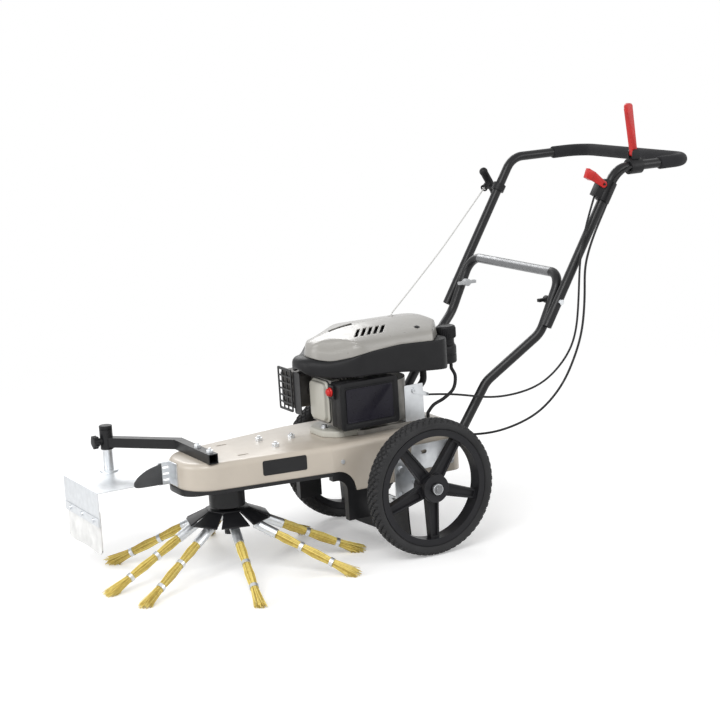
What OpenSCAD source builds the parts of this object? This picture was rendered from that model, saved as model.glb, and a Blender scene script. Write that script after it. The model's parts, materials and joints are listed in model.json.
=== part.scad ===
// Walk-behind power brush sweeper: two wheels, a beige deck with a petrol engine
// on it, a turning brush of bristle tufts under the nose, a folding handle with a
// clutch lever and a throttle, and a sheet guard on an arm.
// Units are millimetres. +X is forward, +Y is the operator's left, +Z is up, and
// the origin is on the ground midway between the tyres. Heights that end in _z are
// above the axle, which every chassis piece is lifted by.

/* [Wheels] */
// Outside diameter of a tyre
wheel_d = 356; // [330:1:380]
// Width of a tyre
tyre_w = 49; // [42:1:56]
// Height of a tyre from its rim to the ground
tyre_h = 30; // [26:1:40]
// Distance from the deck's side to a tyre's middle
wheel_out = 81; // [77:1:110]
// Diameter of the axle
axle_d = 20; // [14:1:26]
// Diameter of a wheel's hub
wheel_hub_d = 64; // [50:1:76]
// Spokes in a rim
spokes = 5; // [4:1:7]
// Tread blocks in one row of a tyre
tread_blocks = 30; // [20:1:36]

/* [Deck] */
// Width of the deck between the wheels
deck_w = 296; // [280:1:300]
// Width of the deck's nose
nose_w = 184; // [170:1:210]
// Distance from the axle forward to the tip of the nose
nose_x = 600; // [590:1:640]
// Distance from the axle back to the deck's rear end
deck_back = 150; // [130:1:170]
// Height of the deck's top above the axle
deck_z = 130; // [124:1:140]
// Height of the deck's skirt along the nose
skirt_h = 68; // [60:1:74]
// Sheet thickness of the deck
sheet = 3; // [2:0.5:4]
// Depth of the belt cover's rim below the skirt
cover_rim = 22; // [14:1:26]

/* [Brush] */
// Diameter of the circle that the bristle tips draw
brush_d = 690; // [640:1:690]
// Tufts round the brush hub
tufts = 8; // [6:1:8]
// Strands in a tuft
strands = 42; // [38:1:46]
// Diameter of a tuft inside its crimp bands
tuft_d = 20; // [19:1:24]
// Diameter of a tuft at its tips
flare_d = 34; // [28:1:38]
// Distance from the axle forward to the brush spindle
spindle_x = 465; // [455:1:475]
// Diameter of the brush spindle
spindle_d = 24; // [18:1:28]
// Diameter of the spindle's housing
housing_d = 92; // [76:1:100]
// Length of the spindle's housing below the belt cover
housing_h = 66; // [60:1:70]
// Diameter of the brush's belt pulley
brush_pulley_d = 150; // [130:1:164]
// Diameter of the engine's belt pulley
drive_pulley_d = 75; // [60:1:90]

/* [Handle] */
// Diameter of the handle's tubes
tube_d = 25; // [22:1:26]
// Wall of the handle's tubes
tube_wall = 2; // [1.5:0.5:3]
// Distance between the upper handle's side tubes
handle_w = 492; // [480:1:520]
// Height of the upper handle's grip above the axle
grip_z = 752; // [720:1:790]
// Distance from the axle back to the grip's crossbar
grip_back = 845; // [820:1:880]
// Diameter of the foam grip
foam_d = 34; // [31:1:40]
// Diameter of the bolts that the handle folds on
fold_bolt_d = 8; // [6:1:10]

/* [Guard] */
// Side of the guard arm's square tube
arm_s = 25; // [20:1:28]
// Diameter of the guard's post
post_d = 26; // [22:1:30]
// Length of the guard's hood, fore and aft
hood_l = 185; // [170:1:190]
// Width of the guard's hood
hood_w = 235; // [220:1:260]
// Depth of the hood's front panel
hood_h = 64; // [50:1:72]
// Sheet thickness of the hood
hood_t = 2.5; // [1.5:0.5:4]

/* [Engine] */
// Distance from the axle forward to the crankshaft
crank_x = 15; // [5:1:25]
// Diameter of the crankshaft
crank_d = 25; // [20:1:28]
// Wall of the engine's plastic covers
shell = 3; // [2:0.5:4]
// Diameter of the fuel cap
cap_d = 54; // [48:1:58]

/* [Clearances] */
// Radial clearance of a shaft in its bore
run = 0.05; // [0.02:0.01:0.1]
// Gap between pieces that pass or sit against each other
gap = 0.3; // [0.2:0.05:0.5]

/* [Hidden] */
$fn = 64;
axle_z = wheel_d / 2;

// Wheels
track = deck_w + 2 * wheel_out;
rim_d = wheel_d - 2 * tyre_h;
wheel_hub_l = 60;
rim_w = tyre_w - 9;
rim_t = 14;
rim_lip = 3;
tread_h = 4;
hub_gap = 0.5;
collar_d = axle_d + 14;
collar_l = 8;
axle_cap_d = axle_d + 8;
axle_end = track / 2 + wheel_hub_l / 2 + hub_gap;

// Deck
skirt_z = deck_z - skirt_h;
rear_z = 5;
step_x = 225;
step_r = skirt_z - rear_z - 2;
nose_r = 84;
deck_pts = [
  [nose_x, -nose_w / 2],
  [nose_x, nose_w / 2],
  [step_x + 7, deck_w / 2],
  [-deck_back, deck_w / 2],
  [-deck_back, -deck_w / 2],
  [step_x + 7, -deck_w / 2]
];
deck_rads = [nose_r, nose_r, 4, 30, 30, 4];
crank_hole_d = 70;
cover_plate = 4;
cover_grow = 3;
cover_x = step_x + 10;
rail_t = 20;
leg_x = step_x - step_r;
leg_w = 24;
leg_z = -72;
foot_x = 130;

// Side brackets and rear flap
plate_t = 4;
bracket_y = deck_w / 2 + 0.2;
handle_plate_y = bracket_y + plate_t + 0.2;
leg_tube_y = handle_plate_y + plate_t + tube_d / 2 + 0.2;
flap_x = 30;
flap_t = 4;
flap_clear = 14;
bar_top_z = -46;
bar_h = 22;

// Belt drive, inside the deck
belt_w = 10;
belt_t = 9;
belt_z = deck_z - 38;
groove_gap = 0.4;
pulley_flange = 5;
idler_d = 0.15 * deck_w;
idler_x = 255;
idler_throw = deck_w / 30;
idler_pivot_x = 150;
idler_pivot_y = deck_w / 2 - 36;
idler_pin_d = 12;
idler_arm_z = belt_z + 14;
drive_r = drive_pulley_d / 2;
brush_r = brush_pulley_d / 2;
belt_span = spindle_x - crank_x;
belt_lean = asin((brush_r - drive_r) / belt_span);
belt_out = belt_t + 0.15;
idler_y = drive_r + belt_out + (idler_x - crank_x) * tan(belt_lean) + 1
  + idler_throw + idler_d / 2;

// Brush
housing_top_z = skirt_z - cover_plate;
housing_low_z = housing_top_z - housing_h;
hub_top_z = housing_low_z - 6;
hub_flat_r = 50;
hub_t = 4;
hub_brim = 3;
petal_drop = 0.3;
petal_r = 118;
tip_r = brush_d / 2;
holder_id = tuft_d + 1.2;
holder_d = holder_id + 4;
// The holders hang under the hub's petals, and both slope so that the tips reach the ground
hang = petal_drop + hub_t + holder_d / 2 + 0.2;
hub_drop = hub_top_z + axle_z;
hub_run = tip_r - hub_flat_r;
droop = acos(hang / norm([hub_drop, hub_run])) - atan2(hub_run, hub_drop);
holder_r = 88;
holder_l = 62;
tuft_phase = -60;
tuft_lean = [14, 16, -4, 1, 10, 0, -2, 0];
strand_d = 1.7;
band_l = 10;
band_t = 1.6;
band_at = [0.34, 0.68];
stub_z = -84;

// Engine, stacked on the deck
base_h = 12;
filter_y = [78, 132];
case_d = 2 * filter_y[0] - 2;
case_top_z = deck_z + 122;
head_x = 160;
valve_x = 186;
valve_t = 15;
shroud_front = 246;
shroud_back = 142;
shroud_w = 282;
shroud_low = [[110, deck_z + 161], [-shroud_back, deck_z + 142]];
shroud_front_z = deck_z + 170;
seam_z = deck_z + 214;
seam_back_z = deck_z + 226;
cowl_top_z = deck_z + 272;
cowl_back = 134;
flywheel_d = 200;
neck_x = -172;
neck_y = 58;
neck_d = cap_d - 12;
neck_z = deck_z + 222;
cap_h = 34;
filter_x = [25, 190];
filter_z = [deck_z + 30, deck_z + 148];
filter_split = 106;
primer_z = deck_z + 126;
primer_d = 24;
plate_x = [-72, -16];
plate_y = 92;
arm_pivot = [-46, deck_z + 92];

// Handle: side view points [x, z] of the left tubes
fold = [-402, 426];
low_y = handle_w / 2 - tube_d - 2;
low_pts = [
  [-84, leg_tube_y, 38],
  [-220, leg_tube_y, 230],
  [-362, low_y, 346],
  [-434, low_y, 492]
];
bend_r = 60;
up_dir = [-187, grip_z - fold[1] - 22];
up_u = up_dir / norm(up_dir);
up_low = fold - 72 * up_u;
up_bend = fold + up_u * norm(up_dir) * (grip_z - fold[1]) / up_dir[1];
up_y = handle_w / 2;
foam_x = 105;

// Guard
arm_z = deck_z;
arm_x = nose_x - 62;
arm_near_y = 100;
arm_bend_y = -112;
socket_x = nose_x + 74;
socket_y = -263;
socket_wall = 4;
socket_z = [arm_z - 6, arm_z + 46];
hood_z = 62;
hood_front = socket_x + 111;
hood_far = socket_y - 42;
strip_h = 22;
guard_clear = 80;
knob_z = arm_z + 16;

// Helpers

module lift() translate([0, 0, axle_z]) children();
module along_x() rotate([0, 90, 0]) children();
module along_y() rotate([-90, 0, 0]) children();
module both_sides() {
  children();
  mirror([0, 1, 0]) children();
}
// A box between two corners
module box(a, b) translate(a) cube(b - a);
// A flat shape drawn in X and Z, from y0 to y1
module slab_y(y0, y1) translate([0, y1, 0]) rotate([90, 0, 0]) linear_extrude(y1 - y0) children();
// A flat shape drawn in Y and Z, from x0 to x1
module slab_x(x0, x1)
  translate([x0, 0, 0]) rotate([90, 0, 90]) linear_extrude(x1 - x0) children();
module disc(d, z0, z1) translate([0, 0, z0]) cylinder(d = d, h = z1 - z0);

function unit(v) = v / norm(v);
function near_pt(p, i, n) = p[(i + n) % len(p)];
// Outward normal of the edge from point i of a counter-clockwise outline
function edge_n(p, i) = let (d = unit(near_pt(p, i, 1) - p[i])) [d[1], -d[0]];
function inset(p, e) = [
  for (i = [0:len(p) - 1])
    let (a = edge_n(p, (i + len(p) - 1) % len(p)), b = edge_n(p, i))
    p[i] - e * (a + b) / (1 + a * b)
];
function half_turn(p, i) =
  let (u = unit(near_pt(p, i, len(p) - 1) - p[i]), v = unit(near_pt(p, i, 1) - p[i]))
  acos(u * v) / 2;
function corner_mid(p, i, r) =
  let (u = unit(near_pt(p, i, len(p) - 1) - p[i]), v = unit(near_pt(p, i, 1) - p[i]))
  p[i] + unit(u + v) * r / sin(half_turn(p, i));

// A convex outline with a radius at each corner; the corner circles are a hair larger,
// so that they cross the sides
module round_outline(p, r) {
  n = len(p);
  polygon([
    for (i = [0:n - 1])
      let (
        u = unit(near_pt(p, i, n - 1) - p[i]),
        v = unit(near_pt(p, i, 1) - p[i]),
        t = r[i] / tan(half_turn(p, i))
      )
      each [p[i] + u * t, p[i] + v * t]
  ]);
  for (i = [0:n - 1]) translate(corner_mid(p, i, r[i])) circle(r[i] + 0.02);
}
function rect_pts(a, b) = [[a[0], a[1]], [b[0], a[1]], [b[0], b[1]], [a[0], b[1]]];
module round_rect(a, b, r) round_outline(rect_pts(a, b), [r, r, r, r]);

// A round bar from a to b
module bar(a, b, d) {
  v = b - a;
  translate(a) rotate([0, acos(v[2] / norm(v)), atan2(v[1], v[0])]) cylinder(d = d, h = norm(v));
}
function turn_at(p, i) = 180 - acos(unit(p[i - 1] - p[i]) * unit(p[i + 1] - p[i]));
function bend_cut(p, r, i) = i == 0 || i == len(p) - 1 ? 0 : r[i] * tan(turn_at(p, i) / 2);
// A bent round bar through points p, with bend radius r[i] at point i; the straights
// run a little way into the bends, which are a hair thicker, so that they join
module bent_bar(p, r, d) {
  n = len(p);
  lap = 1.5;
  for (i = [0:n - 2]) {
    u = unit(p[i + 1] - p[i]);
    bar(
      p[i] + u * (bend_cut(p, r, i) - (i > 0 ? lap : 0)),
      p[i + 1] - u * (bend_cut(p, r, i + 1) - (i < n - 2 ? lap : 0)),
      d
    );
  }
  for (i = [1:n - 2]) {
    a = unit(p[i - 1] - p[i]);
    b = unit(p[i + 1] - p[i]);
    c = p[i] + unit(a + b) * r[i] / cos(turn_at(p, i) / 2);
    e = unit(p[i] + a * bend_cut(p, r, i) - c);
    k = unit(cross(e, p[i] + b * bend_cut(p, r, i) - c));
    f = cross(k, e);
    multmatrix([
      [e[0], f[0], k[0], c[0]],
      [e[1], f[1], k[1], c[1]],
      [e[2], f[2], k[2], c[2]],
      [0, 0, 0, 1]
    ]) rotate_extrude(angle = turn_at(p, i)) translate([r[i], 0]) circle(d = d + 0.1);
  }
}
function stretched(p, e) = [
  for (i = [0:len(p) - 1])
    i == 0 ? p[0] + unit(p[0] - p[1]) * e
    : i == len(p) - 1 ? p[i] + unit(p[i] - p[i - 1]) * e
    : p[i]
];
module bent_tube(p, r, d, wall) difference() {
  bent_bar(p, r, d);
  bent_bar(stretched(p, 1), r, d - 2 * wall);
}

// A smooth curve through points p, with n steps a stretch
function curve_at(a, b, c, d, t) =
  0.5 * (2 * b + (c - a) * t + (2 * a - 5 * b + 4 * c - d) * t * t
    + (3 * b - a - 3 * c + d) * t * t * t);
function smooth(p, n) = [
  for (i = [0:len(p) - 2], k = [0:n - 1])
    curve_at(p[max(i - 1, 0)], p[i], p[i + 1], p[min(i + 2, len(p) - 1)], k / n),
  p[len(p) - 1]
];
// The same with a straight lead at each end
function led(p, n) = concat(
  [p[0]], smooth([for (i = [1:len(p) - 2]) p[i]], n), [p[len(p) - 1]]
);
function along(p, i) = unit(p[min(i + 1, len(p) - 1)] - p[max(i - 1, 0)]);
// A cord of the given sides swept along points p
module cord(p, d, sides = 8) {
  n = len(p);
  ring = [
    for (i = [0:n - 1], k = [0:sides - 1])
      let (
        t = along(p, i),
        s = unit(cross(t, abs(t[1]) > 0.9 ? [1, 0, 0] : [0, 1, 0])),
        w = cross(s, t)
      )
      p[i] + d / 2 * (cos(k * 360 / sides) * s + sin(k * 360 / sides) * w)
  ];
  polyhedron(
    points = concat(ring, [p[0], p[n - 1]]),
    faces = [
      for (i = [0:n - 2], k = [0:sides - 1])
        let (a = i * sides + k, b = i * sides + (k + 1) % sides)
        each [[a, a + sides, b], [b, a + sides, b + sides]],
      for (k = [0:sides - 1]) [n * sides, k, (k + 1) % sides],
      for (k = [0:sides - 1])
        [n * sides + 1, (n - 1) * sides + (k + 1) % sides, (n - 1) * sides + k]
    ]
  );
}

// Colours
beige = [0.78, 0.72, 0.63];
black = [0.10, 0.10, 0.11];
zinc = [0.72, 0.74, 0.76];
alloy = [0.80, 0.79, 0.75];
rubber = [0.16, 0.17, 0.16];
red = [0.75, 0.08, 0.07];
straw = [0.87, 0.68, 0.18];

// Wheels

module wheel_at(s) translate([0, s * track / 2, axle_z]) mirror([0, s < 0 ? 1 : 0, 0]) children();
module spoke() {
  root = wheel_hub_d / 2 - 6;
  tip = rim_d / 2 - rim_t + 2;
  difference() {
    slab_y(-10, 10) polygon([[-17, -root], [-12, -tip], [12, -tip], [17, -root]]);
    slab_y(4, 11) polygon([[-11, -root - 14], [-7, -tip + 8], [7, -tip + 8], [11, -root - 14]]);
  }
}
module rim() difference() {
  union() {
    along_y() rotate_extrude() polygon([
      [rim_d / 2 - rim_t, -rim_w / 2], [rim_d / 2 + rim_lip, -rim_w / 2],
      [rim_d / 2 + rim_lip, -rim_w / 2 + 3], [rim_d / 2, -rim_w / 2 + 3],
      [rim_d / 2, rim_w / 2 - 3], [rim_d / 2 + rim_lip, rim_w / 2 - 3],
      [rim_d / 2 + rim_lip, rim_w / 2], [rim_d / 2 - rim_t, rim_w / 2]
    ]);
    along_y() disc(wheel_hub_d, -wheel_hub_l / 2, wheel_hub_l / 2);
    for (k = [0:spokes - 1]) rotate([0, k * 360 / spokes, 0]) spoke();
  }
  along_y() disc(axle_d + 2 * run, -wheel_hub_l, wheel_hub_l);
}
module tyre() {
  seat = rim_d / 2 + gap / 2;
  bead = rim_w / 2 - 3 - gap / 2;
  crown = wheel_d / 2 - tread_h;
  side = tyre_w / 2;
  half = [[seat, bead], [seat + rim_lip + gap, bead], [seat + 10, side], [crown - 8, side],
    [crown - 2, side - 5], [crown, side - 12]];
  along_y() rotate_extrude() polygon(concat(
    half, [for (i = [len(half) - 1:-1:0]) [half[i][0], -half[i][1]]]
  ));
  pitch = 360 / tread_blocks;
  for (k = [0:tread_blocks - 1], s = [-1, 1])
    along_y() rotate([0, 0, (k + s / 4) * pitch]) rotate_extrude(angle = 0.6 * pitch)
      polygon([
        [crown - 2, s * 1.5], [wheel_d / 2, s * 1.5],
        [wheel_d / 2, s * (side - 8)], [crown - 2, s * (side - 8)]
      ]);
}
module wheel_rim_left() color(black) wheel_at(1) rim();
module wheel_rim_right() color(black) wheel_at(-1) rim();
module tyre_left() color(rubber) wheel_at(1) tyre();
module tyre_right() color(rubber) wheel_at(-1) tyre();
module axle() color(zinc) lift() {
  along_y() disc(axle_d, -axle_end - 1, axle_end + 1);
  both_sides() along_y() {
    disc(axle_cap_d, axle_end, axle_end + 9);
    disc(collar_d, axle_end - wheel_hub_l - 2 * hub_gap - collar_l, axle_end - wheel_hub_l - 2 * hub_gap);
  }
}

// Chassis

module deck_block(e, z0, z1)
  translate([0, 0, z0]) linear_extrude(z1 - z0)
    round_outline(inset(deck_pts, e), [for (r = deck_rads) max(r - e, 1)]);
module deck() color(beige) lift() {
  difference() {
    deck_block(0, rear_z, deck_z);
    deck_block(sheet, rear_z - 1, deck_z - sheet);
    box([step_x, -deck_w, rear_z - 1], [nose_x + 1, deck_w, skirt_z]);
    box([leg_x, -deck_w, rear_z - 1], [step_x + 1, deck_w, skirt_z - step_r]);
    slab_y(-deck_w, deck_w) translate([step_x, skirt_z - step_r]) circle(step_r);
    along_y() disc(axle_d + 2, -deck_w, deck_w);
    translate([crank_x, 0, 0]) disc(crank_hole_d, 0, deck_z + 1);
    for (y = [-64, 64]) translate([spindle_x - 24, y, deck_z - sheet - 1])
      linear_extrude(sheet + 2) round_rect([-15, -3.5], [15, 3.5], 3.5);
  }
  translate([idler_pivot_x, idler_pivot_y, 0]) {
    disc(idler_pin_d, idler_arm_z - gap - 1, deck_z - sheet + 0.5);
    disc(idler_pin_d + 8, idler_arm_z - gap - 4, idler_arm_z - gap);
  }
}
module belt_cover() color(black) lift() intersection() {
  box([cover_x, -deck_w, skirt_z - cover_rim], [nose_x + 20, deck_w, skirt_z]);
  difference() {
    deck_block(-cover_grow, skirt_z - cover_rim, skirt_z);
    deck_block(0, skirt_z - cover_rim - 1, skirt_z - cover_plate);
    translate([spindle_x, 0, 0]) disc(spindle_d + 12, 0, deck_z);
  }
}
module side_rails() color(black) lift() both_sides()
  slab_y(deck_w / 2 - sheet - rail_t, deck_w / 2 - sheet) {
    translate([step_x, skirt_z - step_r]) difference() {
      intersection() {
        circle(step_r);
        translate([-step_r - 1, 0]) square([step_r + 1, step_r + 1]);
      }
      circle(step_r - leg_w);
    }
    translate([step_x, skirt_z - leg_w]) square([cover_x - step_x - gap, leg_w]);
    translate([leg_x, leg_z]) square([leg_w, skirt_z - step_r - leg_z]);
    translate([foot_x, leg_z]) square([leg_x - foot_x, rear_z - gap - leg_z]);
  }
module spindle_housing() color(black) lift() translate([spindle_x, 0, 0]) difference() {
  union() {
    disc(housing_d + 38, housing_top_z - 6, housing_top_z);
    disc(housing_d, housing_low_z, housing_top_z);
  }
  disc(spindle_d + 2 * run, housing_low_z - 1, housing_top_z + 1);
}
module side_brackets() color(zinc) lift() both_sides() {
  slab_y(bracket_y, bracket_y + plate_t) difference() {
    round_rect([-26, -54], [58, deck_z - 56], 8);
    circle(d = axle_d + 0.2);
  }
  slab_y(handle_plate_y, handle_plate_y + plate_t) difference() {
    round_rect([-118, 28], [8, deck_z - 36], 8);
    translate([-28, deck_z - 57]) round_rect([-9, -5], [9, 5], 5);
  }
}
module flap_bar() color(zinc) lift()
  box(
    [flap_x + flap_t + 0.2, -bracket_y, bar_top_z - bar_h],
    [flap_x + flap_t + 4.2, bracket_y, bar_top_z]
  );
module rear_flap() color(rubber) lift()
  box([flap_x, -bracket_y - 16, flap_clear - axle_z], [flap_x + flap_t, bracket_y + 16, -54 - gap]);

function strip_pts(p, w) = let (
    a = unit(p[1] - p[0]), b = unit(p[2] - p[1]),
    m = [-a[1], a[0]], n = [-b[1], b[0]], k = (m + n) / (1 + m * n)
  ) [p[0] - w * m, p[1] - w * k, p[2] - w * n, p[2] + w * n, p[1] + w * k, p[0] + w * m];
arm_pts = [[arm_x, arm_near_y], [arm_x, arm_bend_y], [socket_x, socket_y]];
arm_out = unit(arm_pts[2] - arm_pts[1]);
socket_d = post_d + 2 * socket_wall;
module guard_arm() color(black) lift() difference() {
  union() {
    translate([0, 0, arm_z]) linear_extrude(arm_s) polygon(strip_pts(arm_pts, arm_s / 2));
    translate([socket_x, socket_y, 0]) disc(socket_d, socket_z[0], socket_z[1]);
    translate([socket_x, socket_y, knob_z]) along_x() disc(18, 0, post_d / 2 + socket_wall + 7);
  }
  translate([0, 0, arm_z + 2]) linear_extrude(arm_s - 4) polygon(strip_pts([
    arm_pts[0] + [0, 1], arm_pts[1], arm_pts[2] - arm_out * socket_d / 2
  ], arm_s / 2 - 2));
  translate([socket_x, socket_y, 0]) disc(post_d + 2 * run, socket_z[0] - 1, socket_z[1] + 1);
  translate([socket_x, socket_y, knob_z]) along_x() disc(8 + 2 * run, 0, socket_d);
}
nose_plate_y = -30;
module nose_bracket() color(zinc) lift() {
  box([nose_x + 0.2, nose_plate_y, skirt_z + 4], [nose_x + 3.2, 14, deck_z - 6]);
  difference() {
    box([nose_x + 0.2, nose_plate_y, skirt_z + 4], [nose_x + 34, nose_plate_y + 3, deck_z - 6]);
    for (k = [0:2]) translate([nose_x + 14, 0, skirt_z + 16 + k * 16])
      slab_y(nose_plate_y - 1, nose_plate_y + 4) round_rect([-9, -3], [9, 3], 3);
  }
}
module nose_deflector() color(rubber) lift()
  slab_y(nose_plate_y + 3 + gap, nose_plate_y + 7 + gap) translate([nose_x, skirt_z])
    round_outline(
      [[26, 6], [98, 14], [102, 40], [64, 58], [26, 60]],
      [3, 10, 12, 20, 3]
    );

// Engine

module at_crank() translate([crank_x, 0, 0]) children();
barrel_y = [-36, 74];
module engine_block() color(alloy) lift() difference() {
  union() {
    translate([0, 0, deck_z]) linear_extrude(base_h) round_rect([-95, -95], [125, 95], 20);
    at_crank() disc(case_d, deck_z, case_top_z);
    box([crank_x + 50, barrel_y[0] + 14, deck_z + 44], [head_x, barrel_y[1] - 14, deck_z + 138]);
    for (x = [104:9:head_x - 4])
      box([x, barrel_y[0], deck_z + 32], [x + 3.5, barrel_y[1], deck_z + 150]);
    box([head_x, barrel_y[0], deck_z + 32], [valve_x, barrel_y[1], deck_z + 150]);
  }
  at_crank() disc(crank_d + 2 * run, deck_z - 1, case_top_z + 1);
}
module valve_cover() color([0.88, 0.87, 0.83]) lift() {
  slab_x(valve_x + 0.2, valve_x + 5) round_rect([-24, deck_z + 38], [64, deck_z + 146], 14);
  slab_x(valve_x + 4, valve_x + valve_t) round_rect([-19, deck_z + 43], [59, deck_z + 141], 14);
}
module muffler() color([0.35, 0.34, 0.33]) lift() difference() {
  union() {
    slab_x(142, 222) round_rect([-136, deck_z + 60], [-56, deck_z + 156], 14);
    translate([173, 0, deck_z + 104]) along_y() disc(34, -60, barrel_y[0] - 0.2);
  }
  slab_x(145, 219) round_rect([-133, deck_z + 63], [-59, deck_z + 153], 11);
  translate([176, 0, deck_z + 84]) along_y() disc(16, -140, -130);
}
module muffler_guard() color(black) lift() {
  slab_x(226, 229) difference() {
    round_rect([-142, deck_z + 50], [-66, deck_z + 164], 5);
    for (r = [0:5], c = [0:2]) translate([-137 + c * 23, deck_z + 56 + r * 17.5])
      round_rect([0, 0], [20, 13.5], 2);
  }
  for (y = [-126, -80], z = [70, 146]) translate([0, y, deck_z + z]) along_x() disc(7, 222.2, 226.5);
  slab_x(222.2, 224.2) round_rect([-63, deck_z + 48], [-26, deck_z + 160], 5);
}
shroud_pts = [[shroud_front, -62], [shroud_front, 62], [140, shroud_w / 2], [-shroud_back, shroud_w / 2],
  [-shroud_back, -shroud_w / 2], [140, -shroud_w / 2]];
shroud_rads = [48, 48, 60, 46, 46, 60];
seam = [[shroud_front + 10, seam_z], [-shroud_back - 10, seam_back_z]];
module shroud_plan(e, z0, z1)
  translate([0, 0, z0]) linear_extrude(z1 - z0)
    round_outline(inset(shroud_pts, e), [for (r = shroud_rads) r - e]);
module shroud_side(low, top) slab_y(-shroud_w, shroud_w) polygon([
  shroud_low[1] - [10, low], shroud_low[0] - [0, low],
  [shroud_front + 10, shroud_front_z - low], seam[0] - [0, top], seam[1] - [0, top]
]);
module blower_shroud() color(black) lift() difference() {
  intersection() {
    shroud_plan(0, deck_z + 130, deck_z + 240);
    shroud_side(0, 0);
  }
  intersection() {
    shroud_plan(shell, deck_z + 100, deck_z + 240);
    shroud_side(20, shell);
  }
  at_crank() disc(flywheel_d + 20, deck_z + 180, deck_z + 240);
}
cowl_side = [
  [-cowl_back, seam_back_z + gap], [shroud_front, seam_z + gap], [232, seam_z + 10],
  [182, cowl_top_z - 22], [148, cowl_top_z - 10], [88, cowl_top_z], [-50, cowl_top_z],
  [-116, cowl_top_z - 5], [-cowl_back, cowl_top_z - 16]
];
cowl_cross = [
  [-140, seam_z - 10], [140, seam_z - 10], [138, cowl_top_z - 40], [122, cowl_top_z - 13],
  [90, cowl_top_z + 0.5], [-90, cowl_top_z + 0.5], [-122, cowl_top_z - 13], [-138, cowl_top_z - 40]
];
module cowl_body(e, drop) intersection() {
  shroud_plan(1 + e, seam_z - 40, cowl_top_z + 10);
  slab_y(-shroud_w, shroud_w) polygon([
    for (i = [0:len(cowl_side) - 1]) inset(cowl_side, e)[i] - (i < 2 ? [0, drop] : [0, 0])
  ]);
  slab_x(-shroud_w, shroud_w + 20) polygon([
    for (i = [0:len(cowl_cross) - 1]) inset(cowl_cross, e)[i] - (i < 2 ? [0, drop] : [0, 0])
  ]);
}
rope_exit = [-60, -30];
module cowl() color(beige) lift() difference() {
  cowl_body(0, 0);
  cowl_body(shell, 3 * shell);
  for (k = [0:4]) translate([52 + 17 * k, 0, cowl_top_z - 16]) rotate([0, 24, 0])
    box([-4, 84, -12], [4, 150, 13]);
  box([96, -64, cowl_top_z - 40], [142, 22, cowl_top_z + 5]);
  translate(rope_exit) disc(18, cowl_top_z - 10, cowl_top_z + 5);
}
module recoil_starter() color(black) lift() at_crank() {
  disc(186, cowl_top_z - 42, cowl_top_z - 16);
  disc(60, cowl_top_z - 17, cowl_top_z - shell - gap);
}
module fuel_tank() color(black) lift() difference() {
  union() {
    translate([0, 0, deck_z + 142]) linear_extrude(48)
      round_rect([-200, -92], [-shroud_back - gap, 96], 16);
    translate([neck_x, neck_y, 0]) disc(neck_d, deck_z + 188, neck_z);
  }
  translate([0, 0, deck_z + 142 + shell]) linear_extrude(48 - 2 * shell)
    round_rect([-200 + shell, -92 + shell], [-shroud_back - gap - shell, 96 - shell], 13);
  translate([neck_x, neck_y, 0]) disc(neck_d - 2 * shell, deck_z + 180, neck_z + 1);
}
module fuel_cap() color(black) lift() translate([neck_x, neck_y, 0]) difference() {
  union() {
    disc(cap_d - 3, neck_z - 14, neck_z + cap_h - 14);
    for (k = [0:11]) rotate(k * 30) translate([cap_d / 2 - 3, 0, 0])
      disc(6, neck_z - 12, neck_z + cap_h - 18);
  }
  disc(neck_d + 2 * gap, neck_z - 15, neck_z + gap);
}
module at_primer()
  translate([filter_x[1] + 8, (filter_y[0] + filter_split) / 2, primer_z]) along_x() children();
module air_filter_base() color(black) lift() {
  slab_y(filter_y[0], filter_split) round_rect([filter_x[0], filter_z[0]], [filter_x[1], filter_z[1]], 8);
  box([118, barrel_y[1] + 0.2, deck_z + 78], [152, filter_y[0] + 1, deck_z + 112]);
  difference() {
    box([filter_x[1] - 1, filter_y[0], primer_z - 18], [filter_x[1] + 8, filter_split, primer_z + 18]);
    at_primer() disc(primer_d + 2 * gap, -6.5, 1);
  }
}
module air_filter_cover() color(black) lift() difference() {
  slab_y(filter_split + gap, filter_y[1])
    round_rect([filter_x[0] - 2, filter_z[0] - 2], [filter_x[1] + 2, filter_z[1] + 2], 10);
  slab_y(filter_y[1] - 1.5, filter_y[1] + 1)
    round_rect([filter_x[0] + 10, filter_z[0] + 10], [filter_x[1] - 10, filter_z[1] - 10], 4);
}
module primer_bulb() color(red) lift() at_primer() {
  disc(primer_d, -1, 4);
  disc(primer_d - 4, 3, 9);
  disc(primer_d - 10, 8, 12);
}
module control_bracket() color(zinc) lift() {
  slab_y(plate_y, plate_y + 2.5) round_rect([plate_x[0], deck_z + base_h], [plate_x[1], deck_z + 108], 3);
  box([plate_x[0], 72, deck_z + base_h], [plate_x[1], plate_y + 1, deck_z + base_h + 2.5]);
  translate([arm_pivot[0], 0, arm_pivot[1]]) along_y() disc(6, plate_y + 2, plate_y + 8);
}
speed_end = arm_pivot + [-38, -16];
module speed_arm() color(zinc) lift() difference() {
  slab_y(plate_y + 2.5 + gap, plate_y + 5.5 + gap) {
    translate(arm_pivot) circle(d = 16);
    translate(speed_end) circle(d = 10);
    polygon([
      arm_pivot + [-3, 7], speed_end + [-2, 4.5], speed_end + [2, -4.5], arm_pivot + [3, -7]
    ]);
  }
  translate([arm_pivot[0], 0, arm_pivot[1]]) along_y() disc(6 + 2 * run, plate_y, plate_y + 12);
}
module breather_tube() color(rubber) lift()
  bent_bar(
    [
      [-74, 36, deck_z + base_h + 0.2], [-74, 36, deck_z + 62],
      [-100, 52, deck_z + 104], [-100, 52, deck_z + 160]
    ],
    [0, 26, 26, 0], 18
  );

// Handle

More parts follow.
